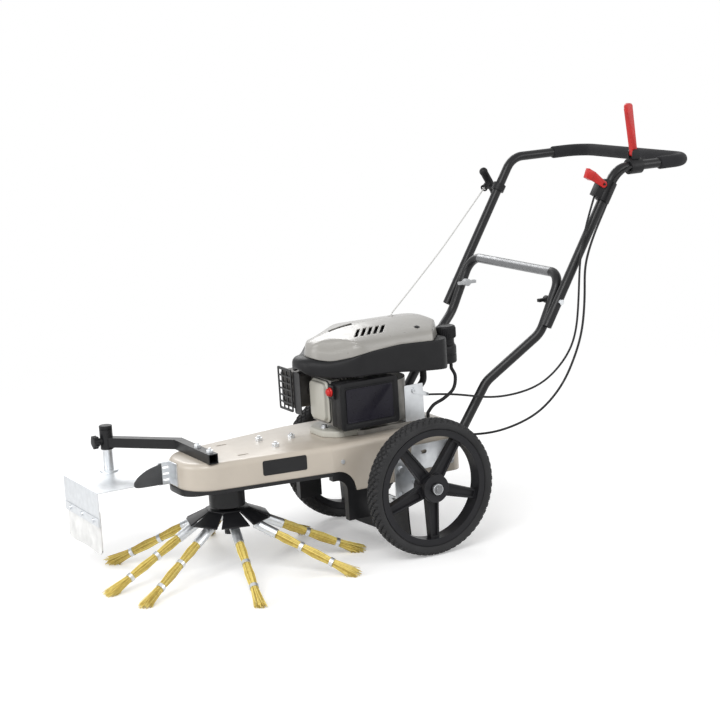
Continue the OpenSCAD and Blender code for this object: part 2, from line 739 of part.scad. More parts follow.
function mirrored(p) = concat(p, [for (i = [len(p) - 1:-1:0]) [p[i][0], -p[i][1], p[i][2]]]);
module at_fold() translate([fold[0], 0, fold[1]]) along_y() children();
module lower_handle() color(black) lift() difference() {
  bent_tube(mirrored(low_pts), [0, 80, 80, 45, 45, 80, 80, 0], tube_d, tube_wall);
  both_sides() at_fold() disc(fold_bolt_d + 2 * run, low_y - tube_d, low_y + tube_d);
}
up_pts = [
  [up_low[0], up_y, up_low[1]],
  [up_bend[0], up_y, up_bend[1]],
  [-grip_back, up_y, grip_z]
];
module upper_handle() color(black) lift() difference() {
  bent_tube(mirrored(up_pts), [0, bend_r, bend_r, bend_r, bend_r, 0], tube_d, tube_wall);
  both_sides() at_fold() disc(fold_bolt_d + 2 * run, up_y - tube_d, up_y + tube_d);
}
foam_pts = [[-grip_back + foam_x, up_y, grip_z], [-grip_back, up_y, grip_z]];
module foam_grip() color(rubber) lift() difference() {
  bent_bar(mirrored(foam_pts), [0, bend_r, bend_r, 0], foam_d);
  bent_bar(stretched(mirrored(foam_pts), 1), [0, bend_r, bend_r, 0], tube_d + 0.2);
}
// A point s up the upper tube from the fold, f in front of it, at side y
function tube_pt(s, f, y) = [
  fold[0] + s * up_u[0] + f * up_u[1], y, fold[1] + s * up_u[1] - f * up_u[0]
];
module at_tube(s, y) translate(tube_pt(s, 0, y)) rotate([0, atan2(up_u[0], up_u[1]), 0]) children();

clamp_x = up_bend[0] - 38;
lever_pivot = [clamp_x - 19, grip_z + tube_d / 2 + 21];
module at_lever() translate([lever_pivot[0], up_y, lever_pivot[1]]) children();
module clutch_clamp() color(black) lift() {
  difference() {
    union() {
      translate([0, up_y, grip_z]) along_x() disc(tube_d + 16, clamp_x - 38, clamp_x);
      for (s = [-1, 1]) at_lever() translate([0, s * 9.6, 0]) slab_y(-2, 2) {
        circle(11);
        translate([-11, -15]) square([22, 15]);
      }
    }
    translate([0, up_y, grip_z]) along_x() disc(tube_d + 0.2, clamp_x - 40, clamp_x + 2);
  }
  at_lever() along_y() disc(6, -11, 11);
}
module clutch_lever() color(red) lift() at_lever() difference() {
  slab_y(-7, 7) {
    circle(9.5);
    polygon([[-8, 0], [8, -2], [22, 118], [3, 124]]);
    translate([12, 122]) circle(9.5);
  }
  along_y() disc(6 + 2 * run, -10, 10);
}
thr_s = 315;
thr_pin = [26, 10];
module throttle_housing() color(black) lift() at_tube(thr_s, up_y) {
  difference() {
    union() {
      disc(tube_d + 13, -28, 28);
      box([8, -12, -26], [36, 12, 22]);
    }
    disc(tube_d + 0.2, -40, 40);
  }
  translate([thr_pin[0], 0, thr_pin[1]]) along_y() disc(6, 11, 20);
}
module throttle_lever() color(red) lift() at_tube(thr_s, up_y)
  translate([thr_pin[0], 12 + gap, thr_pin[1]]) difference() {
    union() {
      slab_y(0, 5) {
        circle(9);
        polygon([[0, -8], [58, -9], [62, 14], [40, 16], [0, 8]]);
      }
      slab_y(-8, 8) polygon([[43, -10], [60, -10], [64, 15], [43, 15]]);
    }
    along_y() disc(6 + 2 * run, -10, 10);
  }
guide_s = 289;
eye = tube_pt(guide_s, 0, -up_y) + [22, -42, -3];
rope_out = [rope_exit[0], rope_exit[1], cowl_top_z + 4];
rope_u = unit(rope_out - eye);
grip_u = unit(cross(rope_u, [0, 1, 0]));
module facing(v) rotate([0, acos(v[2]), atan2(v[1], v[0])]) children();
module rope_guide() color(black) lift() {
  side = unit(eye - tube_pt(guide_s, 0, -up_y));
  difference() {
    at_tube(guide_s, -up_y) disc(tube_d + 11, -10, 10);
    at_tube(guide_s, -up_y) disc(tube_d + 0.2, -12, 12);
  }
  bar(eye - side * (norm([22, 42, 3]) - tube_d / 2 - 3), eye - side * 8, 7);
  translate(eye) facing(rope_u) rotate_extrude() translate([8, 0]) circle(d = 5);
}
module starter_grip() color(black) lift() {
  mid = eye - rope_u * 34;
  bar(eye - rope_u * 6, mid, 16);
  bar(mid - grip_u * 34, mid + grip_u * 34, 22);
  for (s = [-1, 1]) translate(mid + s * 34 * grip_u) sphere(d = 24);
}
knob_y = low_y - tube_d / 2 - gap;
module wing_knob() at_fold() difference() {
  union() {
    disc(20, knob_y - 16, knob_y);
    box([-27, -4, knob_y - 16], [27, 4, knob_y - 5]);
  }
  disc(fold_bolt_d + 2 * run, knob_y - 12, knob_y + 1);
}
module wing_knob_left() color(black) lift() wing_knob();
module wing_knob_right() color([0.6, 0.61, 0.62]) lift() mirror([0, 1, 0]) wing_knob();

// Cables, hose and rope: points that the real ones pass through; each leaves straight
// from the face it ends at

cord_gap = 0.4;
cord_lead = 12;
throttle_pts = [
  tube_pt(thr_s - 26 - cord_gap, 27, up_y),
  tube_pt(thr_s - 26 - cord_lead, 27, up_y),
  tube_pt(255, 27, up_y + 6),
  tube_pt(185, 22, up_y + 18),
  tube_pt(110, 2, up_y + 25),
  [fold[0] - 50, up_y + 25, fold[1] + 24],
  [fold[0] - 38, up_y + 22, fold[1] - 81],
  [fold[0] - 10, up_y + 14, fold[1] - 146],
  [-335, 245, 215],
  [-215, 225, 198],
  [-130, 180, 212],
  [speed_end[0] - 5, plate_y + 20, speed_end[1] + 2],
  [speed_end[0] - 1, plate_y + 10, speed_end[1]]
];
clutch_pts = [
  [clamp_x + cord_gap, up_y + 17, grip_z],
  [clamp_x + cord_lead, up_y + 17, grip_z],
  tube_pt(350, 6, up_y + 25),
  tube_pt(290, 2, up_y + 29),
  tube_pt(200, 4, up_y + 33),
  tube_pt(110, -8, up_y + 35),
  [fold[0] - 62, up_y + 35, fold[1] + 24],
  [fold[0] - 50, up_y + 32, fold[1] - 81],
  [fold[0] - 22, up_y + 22, fold[1] - 164],
  [-390, 258, 200],
  [-325, 240, 138],
  [-235, 210, 104],
  [-190, 160, 92],
  [-deck_back - cord_lead, 118, 88],
  [-deck_back - cord_gap, 118, 88]
];
hose_pts = [
  [-170, 80, deck_z + 142 - cord_gap],
  [-170, 80, deck_z + 142 - cord_lead],
  [-176, 88, deck_z + 108],
  [-164, 95, deck_z + 78],
  [-134, 97, deck_z + 58],
  [-104, 92, deck_z + 44],
  [-88, 86, deck_z + base_h + cord_lead],
  [-88, 86, deck_z + base_h + cord_gap]
];
rope_pts = [
  [rope_exit[0], rope_exit[1], cowl_top_z - 15.5],
  [rope_exit[0], rope_exit[1], cowl_top_z - 6],
  rope_out - 2 * rope_u,
  rope_out - 120 * rope_u - [0, 0, 5],
  rope_out - 320 * rope_u - [0, 0, 9],
  eye + 80 * rope_u - [0, 0, 3],
  eye + 4 * rope_u,
  eye - 5.6 * rope_u
];
module throttle_cable() color(rubber) lift() cord(led(throttle_pts, 6), 5.5);
module clutch_cable() color(rubber) lift() cord(led(clutch_pts, 6), 6);
module fuel_hose() color(rubber) lift() cord(led(hose_pts, 6), 9, 12);
module starter_rope() color(black) lift() cord(led(rope_pts, 5), 4);

// Belt drive

module pulley(r) {
  low = belt_w / 2 + groove_gap;
  disc(2 * r, -low - 1, low + 1);
  disc(2 * (r + pulley_flange), -low - 4, -low);
  disc(2 * (r + pulley_flange), low, low + 4);
}
module crankshaft() color(zinc) lift() at_crank() {
  disc(crank_d, belt_z - 16, deck_z + 200);
  translate([0, 0, belt_z]) pulley(drive_r);
}
module flywheel() color([0.4, 0.4, 0.41]) lift() at_crank() difference() {
  disc(flywheel_d, deck_z + 166, deck_z + 190);
  disc(crank_d + 0.1, deck_z + 160, deck_z + 195);
}
module belt_shape(e) {
  n = [-sin(belt_lean), cos(belt_lean)];
  m = [n[0], -n[1]];
  a = [crank_x, 0];
  b = [spindle_x, 0];
  translate(a) circle(drive_r + e, $fn = 96);
  translate(b) circle(brush_r + e, $fn = 96);
  polygon([a + m * (drive_r + e), b + m * (brush_r + e), b + n * (brush_r + e), a + n * (drive_r + e)]);
}
module drive_belt() color(rubber) lift() translate([0, 0, belt_z - belt_w / 2]) linear_extrude(belt_w)
  difference() {
    belt_shape(belt_out);
    belt_shape(0.15);
  }
module idler_arm() color(zinc) lift() difference() {
  union() {
    translate([0, 0, idler_arm_z]) linear_extrude(4) {
      translate([idler_pivot_x, idler_pivot_y]) circle(d = 28);
      translate([idler_x, idler_y]) circle(d = 24);
      polygon([
        [idler_pivot_x, idler_pivot_y - 14], [idler_x, idler_y - 12],
        [idler_x, idler_y + 12], [idler_pivot_x, idler_pivot_y + 14]
      ]);
    }
    translate([idler_x, idler_y, 0]) {
      disc(10, belt_z - 9, idler_arm_z + 1);
      disc(18, belt_z - 11, belt_z - 7 - gap);
    }
  }
  translate([idler_pivot_x, idler_pivot_y, 0])
    disc(idler_pin_d + 2 * run, idler_arm_z - 1, idler_arm_z + 6);
}
module idler_pulley() color(black) lift() translate([idler_x, idler_y, 0]) difference() {
  union() {
    disc(idler_d, belt_z - 7, belt_z + 7);
    disc(20, belt_z + 6, idler_arm_z - gap);
  }
  disc(10 + 2 * run, belt_z - 10, idler_arm_z + 1);
}

// Brush

module at_spindle() translate([spindle_x, 0, 0]) children();
module spindle() color(zinc) lift() at_spindle() {
  disc(spindle_d, stub_z, belt_z + 14);
  translate([0, 0, belt_z]) pulley(brush_r);
  disc(spindle_d + 20, hub_top_z, housing_low_z - gap);
  translate([0, 0, hub_top_z - hub_t - 14]) cylinder(d = spindle_d + 16, h = 14, $fn = 6);
}
module brush_hub() color(black) lift() at_spindle() translate([0, 0, hub_top_z]) difference() {
  petal_l = (petal_r - hub_flat_r) / cos(droop);
  half = hub_flat_r * tan(180 / tufts);
  union() {
    rotate(tuft_phase + 180 / tufts) translate([0, 0, -hub_t])
      cylinder(r = (hub_flat_r + hub_brim) / cos(180 / tufts), h = hub_t, $fn = tufts);
    for (k = [0:tufts - 1]) rotate(base_az(k)) translate([hub_flat_r, 0, -petal_drop])
      rotate([0, droop, 0]) translate([0, 0, -hub_t]) linear_extrude(hub_t)
        polygon([[0, -half + 1], [petal_l, -half - 2], [petal_l, half + 2], [0, half - 1]]);
  }
  disc(spindle_d + 0.1, -hub_t - 1, 1);
}
// A tuft's axis runs from a point under its petal to its tip on the ground
function polar(r, a, z) = [r * cos(a), r * sin(a), z];
function base_az(k) = tuft_phase + k * 360 / tufts;
function tuft_from(k) =
  polar(holder_r, base_az(k), hub_top_z - (holder_r - hub_flat_r) * tan(droop) - hang / cos(droop));
function tuft_tip(k) = polar(tip_r, base_az(k) + tuft_lean[k], -axle_z);
function tuft_u(k) = unit(tuft_tip(k) - tuft_from(k));
function tuft_l(k) = norm(tuft_tip(k) - tuft_from(k));
tuft_root = holder_l - 22;
module tuft_holders() color(zinc) lift() at_spindle() for (k = [0:tufts - 1]) {
  a = tuft_from(k);
  u = tuft_u(k);
  difference() {
    bar(a - 6 * u, a + (holder_l - 6) * u, holder_d);
    bar(a + (tuft_root - 5 - gap) * u, a + holder_l * u, holder_id);
  }
}
strand_ring = tuft_d / 2 - strand_d / 2;
flare_from = band_at[1] + 0.03;
flare = (flare_d - strand_d) / (tuft_d - strand_d);
function strand_off(j) = let (r = strand_ring * sqrt((j + 0.5) / strands), a = j * 137.508)
  [r * cos(a), r * sin(a)];
strand_gap = min([
  for (i = [0:strands - 2], j = [i + 1:strands - 1]) norm(strand_off(i) - strand_off(j)) - strand_d
]);
echo(least_gap_between_strands = strand_gap);
// Tips stop at the ground
function grounded(q, u) = q[2] < -axle_z ? q - u * (q[2] + axle_z) / u[2] : q;
module strand(k, j) {
  u = tuft_u(k);
  s = unit(cross(u, [0, 0, 1]));
  w = cross(s, u);
  o = strand_off(j);
  l = tuft_l(k) + 6 - tuft_root;
  pts = [
    for (f = [0, flare_from, 1], m = [0:2])
      let (
        g = o * (f == 1 ? flare : 1) + strand_d / 2 * [cos(120 * m), sin(120 * m)],
        q = tuft_from(k) + u * (tuft_root + f * l) + s * g[0] + w * g[1]
      )
      grounded(q, u)
  ];
  polyhedron(points = pts, faces = [
    for (i = [0:1], m = [0:2])
      let (a = 3 * i + m, b = 3 * i + (m + 1) % 3) each [[a, b, a + 3], [b, b + 3, a + 3]],
    [2, 1, 0],
    [6, 7, 8]
  ]);
}
module bristle_tufts() color(straw) lift() at_spindle() resize([0, 0, 0])
  for (k = [0:tufts - 1]) {
    bar(
      tuft_from(k) + (tuft_root - 5) * tuft_u(k), tuft_from(k) + (tuft_root + 1) * tuft_u(k),
      tuft_d, $fn = 16
    );
    for (j = [0:strands - 1]) strand(k, j);
  }
module crimp_bands() color(zinc) lift() at_spindle() for (k = [0:tufts - 1], f = band_at) {
  u = tuft_u(k);
  c = tuft_from(k) + u * (tuft_root + f * (tuft_l(k) + 6 - tuft_root));
  difference() {
    bar(c - u * band_l / 2, c + u * band_l / 2, tuft_d + 0.4 + 2 * band_t);
    bar(c - u * band_l, c + u * band_l, tuft_d + 0.4);
  }
}

// Guard

hood_x = [hood_front - hood_l, hood_front];
hood_y = [hood_far, hood_far + hood_w];
cap_low_z = socket_z[1] + gap;
module at_socket() translate([socket_x, socket_y, 0]) children();
module guard_hood() color(zinc) lift() {
  low = hood_z - hood_h;
  box([hood_x[0], hood_y[0], hood_z], [hood_x[1], hood_y[1], hood_z + hood_t]);
  box([hood_x[1] - hood_t, hood_y[0], low - strip_h], [hood_x[1], hood_y[1], hood_z + hood_t]);
  box([hood_x[0], hood_y[0], low], [hood_x[1], hood_y[0] + hood_t, hood_z + hood_t]);
  box([hood_x[1] - 1, hood_y[0] + 3, low - strip_h], [hood_x[1] + 2, hood_y[1] - 3, low]);
  for (k = [0:2]) translate([0, hood_y[0] + hood_w * (k + 0.5) / 3, low - strip_h / 2])
    along_x() disc(12, hood_x[1] + 1, hood_x[1] + 6);
  at_socket() {
    disc(post_d, hood_z + 1, cap_low_z + 5.5);
    disc(post_d + 22, hood_z + 1, hood_z + hood_t + 4);
  }
}
module guard_flap() color([0.62, 0.6, 0.56]) lift()
  box(
    [hood_x[1] - hood_t - gap - 3, hood_y[0] + hood_t + 2, guard_clear - axle_z],
    [hood_x[1] - hood_t - gap, hood_y[1] - 3, hood_z - hood_h + 16]
  );
module guard_cap() color(black) lift() at_socket() difference() {
  disc(post_d + 2 * socket_wall, cap_low_z, cap_low_z + 10);
  disc(post_d + 2 * run, cap_low_z - 1, cap_low_z + 6);
}
module guard_knob() color(black) lift() translate([socket_x, socket_y, knob_z]) along_x() {
  face = post_d / 2 + socket_wall + 7 + gap;
  disc(8, post_d / 2 + gap, face + 2);
  disc(28, face, face + 14);
  for (k = [0:4]) rotate(k * 72) translate([12, 0, 0]) disc(12, face + 1, face + 13);
}

// Bolts, nuts and screws

module hex(d, z0, z1) translate([0, 0, z0]) cylinder(d = d, h = z1 - z0, $fn = 6);
module fasteners() color(zinc) lift() {
  for (p = [[345, -40], [340, 45], [268, -8]]) translate(p) {
    hex(20, deck_z, deck_z + 8);
    disc(9, deck_z + 7, deck_z + 13);
  }
  for (y = [8, 80]) translate([arm_x, y, 0]) {
    hex(18, arm_z + arm_s, arm_z + arm_s + 7);
    disc(8, arm_z + arm_s + 6, arm_z + arm_s + 12);
  }
  for (x = [-84, 108], y = [-64, 64]) translate([x, y, 0]) hex(15, deck_z + base_h, deck_z + base_h + 7);
  for (k = [0:3]) at_spindle() rotate(45 + k * 90) translate([housing_d / 2 + 10, 0, 0])
    hex(14, housing_top_z - 12, housing_top_z - 6);
  for (y = [-100, 0, 100]) translate([0, y, bar_top_z - bar_h / 2]) along_x()
    hex(13, flap_x + flap_t + 4.2, flap_x + flap_t + 9);
  both_sides() {
    for (z = [-30, 37]) translate([40, 0, z]) along_y()
      hex(15, bracket_y + plate_t, bracket_y + plate_t + 6);
    for (z = [52, 84]) translate([low_pts[0][0] - (z - 38) * 136 / 192, 0, z]) along_y()
      hex(15, leg_tube_y + tube_d / 2 + 0.2, leg_tube_y + tube_d / 2 + 6);
    translate([205, 0, deck_z - 44]) along_y() disc(11, deck_w / 2, deck_w / 2 + 3);
    at_fold() {
      disc(fold_bolt_d, knob_y - 11.5, up_y + tube_d / 2 + 2);
      hex(15, up_y + tube_d / 2 + gap, up_y + tube_d / 2 + 6);
    }
  }
}

wheel_rim_left();
tyre_left();
wheel_rim_right();
tyre_right();
axle();
deck();
belt_cover();
side_rails();
spindle_housing();
side_brackets();
flap_bar();
rear_flap();
guard_arm();
nose_deflector();
nose_bracket();
engine_block();
valve_cover();
muffler();
muffler_guard();
blower_shroud();
cowl();
recoil_starter();
fuel_tank();
air_filter_base();
air_filter_cover();
control_bracket();
breather_tube();
lower_handle();
fasteners();
drive_belt();
fuel_hose();
throttle_cable();
clutch_cable();
starter_rope();
brush_hub();
spindle();
tuft_holders();
bristle_tufts();
crimp_bands();
crankshaft();
flywheel();
idler_arm();
idler_pulley();
upper_handle();
foam_grip();
clutch_clamp();
throttle_housing();
rope_guide();
clutch_lever();
throttle_lever();
starter_grip();
wing_knob_left();
wing_knob_right();
guard_knob();
guard_cap();
guard_hood();
guard_flap();
fuel_cap();
primer_bulb();
speed_arm();
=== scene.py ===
"""Looks of a walk-behind power brush sweeper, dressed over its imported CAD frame.

Metres, in the CAD frame: +X forward, +Y the operator's left, +Z up, origin on the ground
between the tyres. Heights named _Z are above the axle, as in the part's source.
"""

import json
from math import acos, atan2, cos, degrees, hypot, pi, radians, sin, sqrt, tan

import bmesh
import bpy
import numpy as np
from mathutils import Matrix, Vector


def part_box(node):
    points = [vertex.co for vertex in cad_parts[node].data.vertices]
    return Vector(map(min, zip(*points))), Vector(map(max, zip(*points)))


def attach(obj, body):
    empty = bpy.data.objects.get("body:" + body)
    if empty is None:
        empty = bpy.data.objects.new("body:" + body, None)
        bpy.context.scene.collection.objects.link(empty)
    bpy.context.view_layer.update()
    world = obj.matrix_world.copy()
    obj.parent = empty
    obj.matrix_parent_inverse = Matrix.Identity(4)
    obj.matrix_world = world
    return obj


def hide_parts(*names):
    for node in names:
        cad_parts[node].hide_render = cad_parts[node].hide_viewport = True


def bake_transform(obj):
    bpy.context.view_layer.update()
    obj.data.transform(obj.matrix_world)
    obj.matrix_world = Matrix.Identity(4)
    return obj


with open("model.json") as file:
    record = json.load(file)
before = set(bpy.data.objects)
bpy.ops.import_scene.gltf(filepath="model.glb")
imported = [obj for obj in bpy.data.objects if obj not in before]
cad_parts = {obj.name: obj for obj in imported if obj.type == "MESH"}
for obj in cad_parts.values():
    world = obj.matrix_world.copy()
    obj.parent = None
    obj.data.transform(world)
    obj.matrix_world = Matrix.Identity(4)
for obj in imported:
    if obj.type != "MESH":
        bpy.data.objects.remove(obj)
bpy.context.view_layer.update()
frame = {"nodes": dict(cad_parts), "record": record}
nodes = frame["nodes"]

MM = 0.001
AXLE_Z = 178 * MM


def mm(x, y, z):
    """A point given in millimetres, with z above the axle."""
    return Vector((x * MM, y * MM, z * MM + AXLE_Z))


def clamped(value, low=0, high=1):
    return min(max(value, low), high)


def shares(count):
    """Shares from 0 to 1, in a number of even steps."""
    return [k / count for k in range(count + 1)]


def turns(count):
    """Angles of a number of even steps round a circle."""
    return [2 * pi * k / count for k in range(count)]


def add_object(name, data):
    obj = bpy.data.objects.new(name, data)
    bpy.context.scene.collection.objects.link(obj)
    return obj


def add_node(tree, kind, inputs=None, **settings):
    """A shader node of a kind, with some of its settings and its inputs' values."""
    made = tree.nodes.new("ShaderNode" + kind)
    for key, value in settings.items():
        setattr(made, key, value)
    for key, value in (inputs or {}).items():
        made.inputs[key].default_value = value
    return made


# Camera

FOCAL_PX = 1966.44
IMAGE_PX = 720
SENSOR_MM = 36.0
CAMERA_AZIMUTH = radians(151.54)
CAMERA_ELEVATION = radians(11.56)
CAMERA_ROLL = radians(3.5)
CAMERA_DISTANCE = 5.12
CAMERA_TARGET = Vector((0.0574, 0.0, 0.482))
CAMERA_REACH = 100


def add_camera():
    flat = cos(CAMERA_ELEVATION)
    back = Vector((
        sin(CAMERA_AZIMUTH) * flat,
        -cos(CAMERA_AZIMUTH) * flat,
        sin(CAMERA_ELEVATION),
    ))
    turn = back.to_track_quat("Z", "Y").to_matrix() @ Matrix.Rotation(-CAMERA_ROLL, 3, "Z")
    data = bpy.data.cameras.new("camera")
    data.sensor_width = SENSOR_MM
    data.lens = FOCAL_PX / IMAGE_PX * SENSOR_MM
    data.clip_end = CAMERA_REACH
    camera = add_object("camera", data)
    place = Matrix.Translation(CAMERA_TARGET + back * CAMERA_DISTANCE)
    camera.matrix_world = place @ turn.to_4x4()
    bpy.context.scene.camera = camera


# Materials

NOISE_SPAN = (0.3, 0.7)
COAT_ROUGHNESS = 0.15
EDGE_SAMPLES = 4


class Shader:
    """A principled material whose colour, roughness and relief come from its nodes."""

    def __init__(self, name, base, roughness, metallic=0.0, coat=0.0, sheen=0.0, specular=0.5):
        self.material = bpy.data.materials.new(name)
        self.material.use_nodes = True
        self.tree = self.material.node_tree
        self.principled = self.tree.nodes["Principled BSDF"]
        for socket, value in (
            ("Base Color", (*base, 1)),
            ("Roughness", roughness),
            ("Metallic", metallic),
            ("Specular IOR Level", specular),
            ("Coat Weight", coat),
            ("Coat Roughness", COAT_ROUGHNESS),
            ("Sheen Weight", sheen),
        ):
            self.principled.inputs[socket].default_value = value
        self.place = self.node("TexCoord").outputs["Object"]
        self.relief = None

    def node(self, kind, inputs=None, **settings):
        return add_node(self.tree, kind, inputs, **settings)

    def link(self, out, socket):
        self.tree.links.new(out, socket)

    def feed(self, out, socket):
        self.link(out, self.principled.inputs[socket])

    def noise(self, scale, detail=3.0):
        made = self.node("TexNoise", {"Scale": scale, "Detail": detail})
        self.link(self.place, made.inputs["Vector"])
        return made.outputs["Fac"]

    def colours(self, value, low, high, at=NOISE_SPAN):
        made = self.node("ValToRGB")
        for element, place, colour in zip(made.color_ramp.elements, at, (low, high)):
            element.position = place
            element.color = (*colour, 1)
        self.link(value, made.inputs["Fac"])
        self.feed(made.outputs["Color"], "Base Color")
        return self

    def roughs(self, value, low, high):
        span = {"From Min": NOISE_SPAN[0], "From Max": NOISE_SPAN[1], "To Min": low, "To Max": high}
        spread = self.node("MapRange", span)
        self.link(value, spread.inputs["Value"])
        self.feed(spread.outputs["Result"], "Roughness")
        return self

    def bumps(self, value, depth, strength):
        made = self.node("Bump", {"Distance": depth, "Strength": strength})
        self.link(value, made.inputs["Height"])
        if self.relief:
            self.link(self.relief, made.inputs["Normal"])
        return self.relieved(made)

    def soft_edges(self, radius):
        return self.relieved(self.node("Bevel", {"Radius": radius}, samples=EDGE_SAMPLES))

    def relieved(self, made):
        self.relief = made.outputs["Normal"]
        self.feed(self.relief, "Normal")
        return self


def shade(colour, factor):
    return tuple(min(1.0, c * factor) for c in colour)


def paint(name, colour, roughness, coat, edge, spread=0.06, specular=0.5):
    """Sprayed paint: slight clouding, faint orange peel."""
    made = Shader(name, colour, roughness, coat=coat, specular=specular).soft_edges(edge)
    made.colours(made.noise(9.0), shade(colour, 1 - spread), shade(colour, 1 + spread))
    made.roughs(made.noise(40.0), roughness * 0.85, roughness * 1.2)
    return made.bumps(made.noise(500.0), 0.0003, 0.12).material


def moulded(name, colour, roughness, edge, grain=900.0, coat=0.0):
    """Moulded plastic: fine grain and uneven gloss."""
    made = Shader(name, colour, roughness, coat=coat, specular=0.22).soft_edges(edge)
    made.colours(made.noise(25.0), shade(colour, 0.88), shade(colour, 1.15))
    made.roughs(made.noise(60.0), roughness * 0.85, roughness * 1.15)
    return made.bumps(made.noise(grain, 2.0), 0.0004, 0.25).material


def plated(name, colour, roughness, edge):
    """Zinc plate or bare steel: cloudy spangle and uneven gloss."""
    made = Shader(name, colour, roughness, metallic=1.0).soft_edges(edge)
    made.colours(made.noise(60.0, 4.0), shade(colour, 0.94), shade(colour, 1.04))
    made.roughs(made.noise(90.0, 4.0), roughness * 0.85, roughness * 1.2)
    return made.bumps(made.noise(420.0), 0.0002, 0.15).material


def rubbery(name, colour, roughness, edge, grain=300.0):
    """Rubber or foam: dusty bloom over a matt grain."""
    made = Shader(name, colour, roughness, sheen=0.05, specular=0.25).soft_edges(edge)
    made.colours(made.noise(14.0, 5.0), shade(colour, 0.8), shade(colour, 1.35))
    return made.bumps(made.noise(grain, 3.0), 0.0006, 0.35).material


def cast(name, colour, roughness, edge):
    """Cast metal: pitted skin with darker hollows."""
    made = Shader(name, colour, roughness, metallic=0.85).soft_edges(edge)
    made.colours(made.noise(30.0, 6.0), shade(colour, 0.72), shade(colour, 1.06))
    return made.bumps(made.noise(350.0, 5.0), 0.0006, 0.4).material


def strands(name, dark, light, roughness):
    """Coloured bristle: each strand a little different, streaked along its length; the darkest strands
    are also painted shade for the shadowed gaps between strands.
    """
    made = Shader(name, light, roughness)
    island = made.node("NewGeometry").outputs["Random Per Island"]
    mix = made.node("Math", operation="ADD")
    made.link(island, mix.inputs[0])
    made.link(made.noise(160.0), mix.inputs[1])
    half = made.node("Math", {1: 0.5}, operation="MULTIPLY")
    made.link(mix.outputs["Value"], half.inputs[0])
    made.colours(half.outputs["Value"], dark, light, (0.2, 0.7))
    return made.bumps(made.noise(900.0), 0.0002, 0.2).material


def braided(name, dark, light, yarns):
    """Braided cord: slanting light and dark yarns."""
    made = Shader(name, light, 0.75, sheen=0.2)
    wave = made.node("TexWave", {"Scale": yarns, "Distortion": 2.0}, bands_direction="DIAGONAL")
    made.link(made.place, wave.inputs["Vector"])
    made.colours(wave.outputs["Fac"], dark, light, (0.2, 0.8))
    return made.bumps(wave.outputs["Fac"], 0.0004, 0.5).material


BEIGE = (0.490, 0.437, 0.370)
BLACK = (0.008, 0.008, 0.009)
RECIPES = {
    "rim_black": (moulded, (0.012, 0.012, 0.014), 0.4, 0.0018),
    "tyre": (rubbery, (0.022, 0.022, 0.023), 0.7, 0.0008),
    "zinc": (plated, (0.66, 0.68, 0.70), 0.36, 0.0008),
    "steel": (plated, (0.20, 0.203, 0.208), 0.38, 0.0006),
    "beige": (paint, BEIGE, 0.34, 0.2, 0.004),
    "black_metal": (paint, BLACK, 0.36, 0.06, 0.0012, 0.15, 0.28),
    "black_plastic": (moulded, (0.009, 0.009, 0.010), 0.46, 0.0016),
    "cowl_beige": (paint, (0.290, 0.280, 0.260), 0.32, 0.2, 0.003),
    "alloy": (cast, (0.30, 0.29, 0.27), 0.5, 0.0015),
    "valve_cover": (paint, (0.46, 0.45, 0.40), 0.4, 0.1, 0.003),
    "muffler": (cast, (0.11, 0.105, 0.10), 0.6, 0.002),
    "rubber": (rubbery, (0.014, 0.014, 0.015), 0.6, 0.0008),
    "deflector": (rubbery, (0.06, 0.062, 0.065), 0.35, 0.0015),
    "pale_rubber": (moulded, (0.70, 0.70, 0.69), 0.5, 0.0008, 300.0),
    "foam": (rubbery, (0.016, 0.016, 0.018), 0.9, 0.002, 700.0),
    "red": (moulded, (0.48, 0.016, 0.014), 0.35, 0.0015, 700.0, 0.15),
    # the bristle's dark strand colour is partly painted shade for the gaps between strands
    "bristle": (strands, (0.50, 0.33, 0.04), (1.0, 0.84, 0.27), 0.45),
    "rope": (braided, (0.48, 0.48, 0.47), (0.84, 0.83, 0.81), 260.0),
    "iron": (cast, (0.2, 0.2, 0.205), 0.55, 0.001),
    "label": (moulded, (0.011, 0.010, 0.016), 0.3, 0.0005),
    "grey_knob": (moulded, (0.42, 0.43, 0.44), 0.45, 0.0012),
}
MATERIALS = {name: make(name, *values) for name, (make, *values) in RECIPES.items()}
PAINTED_AS = {"spindle": "black_metal"}
SLOT_OF = {part["node"]: part["material_slot"] for part in frame["record"]["subparts"]}


def paint_cad_nodes():
    for name, obj in nodes.items():
        obj.data.materials.clear()
        obj.data.materials.append(MATERIALS[PAINTED_AS.get(name, SLOT_OF[name])])


# Mesh helpers

CREASE = 38
FINE_CREASE = 30
BROAD_CREASE = 50


def add_mesh(name, verts, faces, slot):
    mesh = bpy.data.meshes.new(name)
    mesh.from_pydata([tuple(v) for v in verts], [], faces)
    mesh.update()
    mesh.materials.append(MATERIALS[slot])
    mesh.shade_smooth()
    return add_object(name, mesh)


def seat(piece, body, node=None, crease=CREASE):
    """Let a piece ride on its body, in place of a CAD node if one is named, its creases kept."""
    if crease:
        piece.data.set_sharp_from_angle(angle=radians(crease))
    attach(piece, body)
    if node:
        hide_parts(node)


def curve_point(a, b, c, d, t):
    return 0.5 * (
        2 * b + (c - a) * t + (2 * a - 5 * b + 4 * c - d) * t**2
        + (3 * b - a - 3 * c + d) * t**3
    )


def smooth_path(points, steps):
    """A smooth curve through points, with a number of steps to each stretch."""
    ends = [points[0], *points, points[-1]]
    fours = zip(ends, ends[1:], ends[2:], ends[3:])
    path = [curve_point(*four, k / steps) for four in fours for k in range(steps)]
    return path + [points[-1]]


def led_path(points, steps):
    """A smooth curve with a straight lead at each end."""
    return [points[0]] + smooth_path(points[1:-1], steps) + [points[-1]]


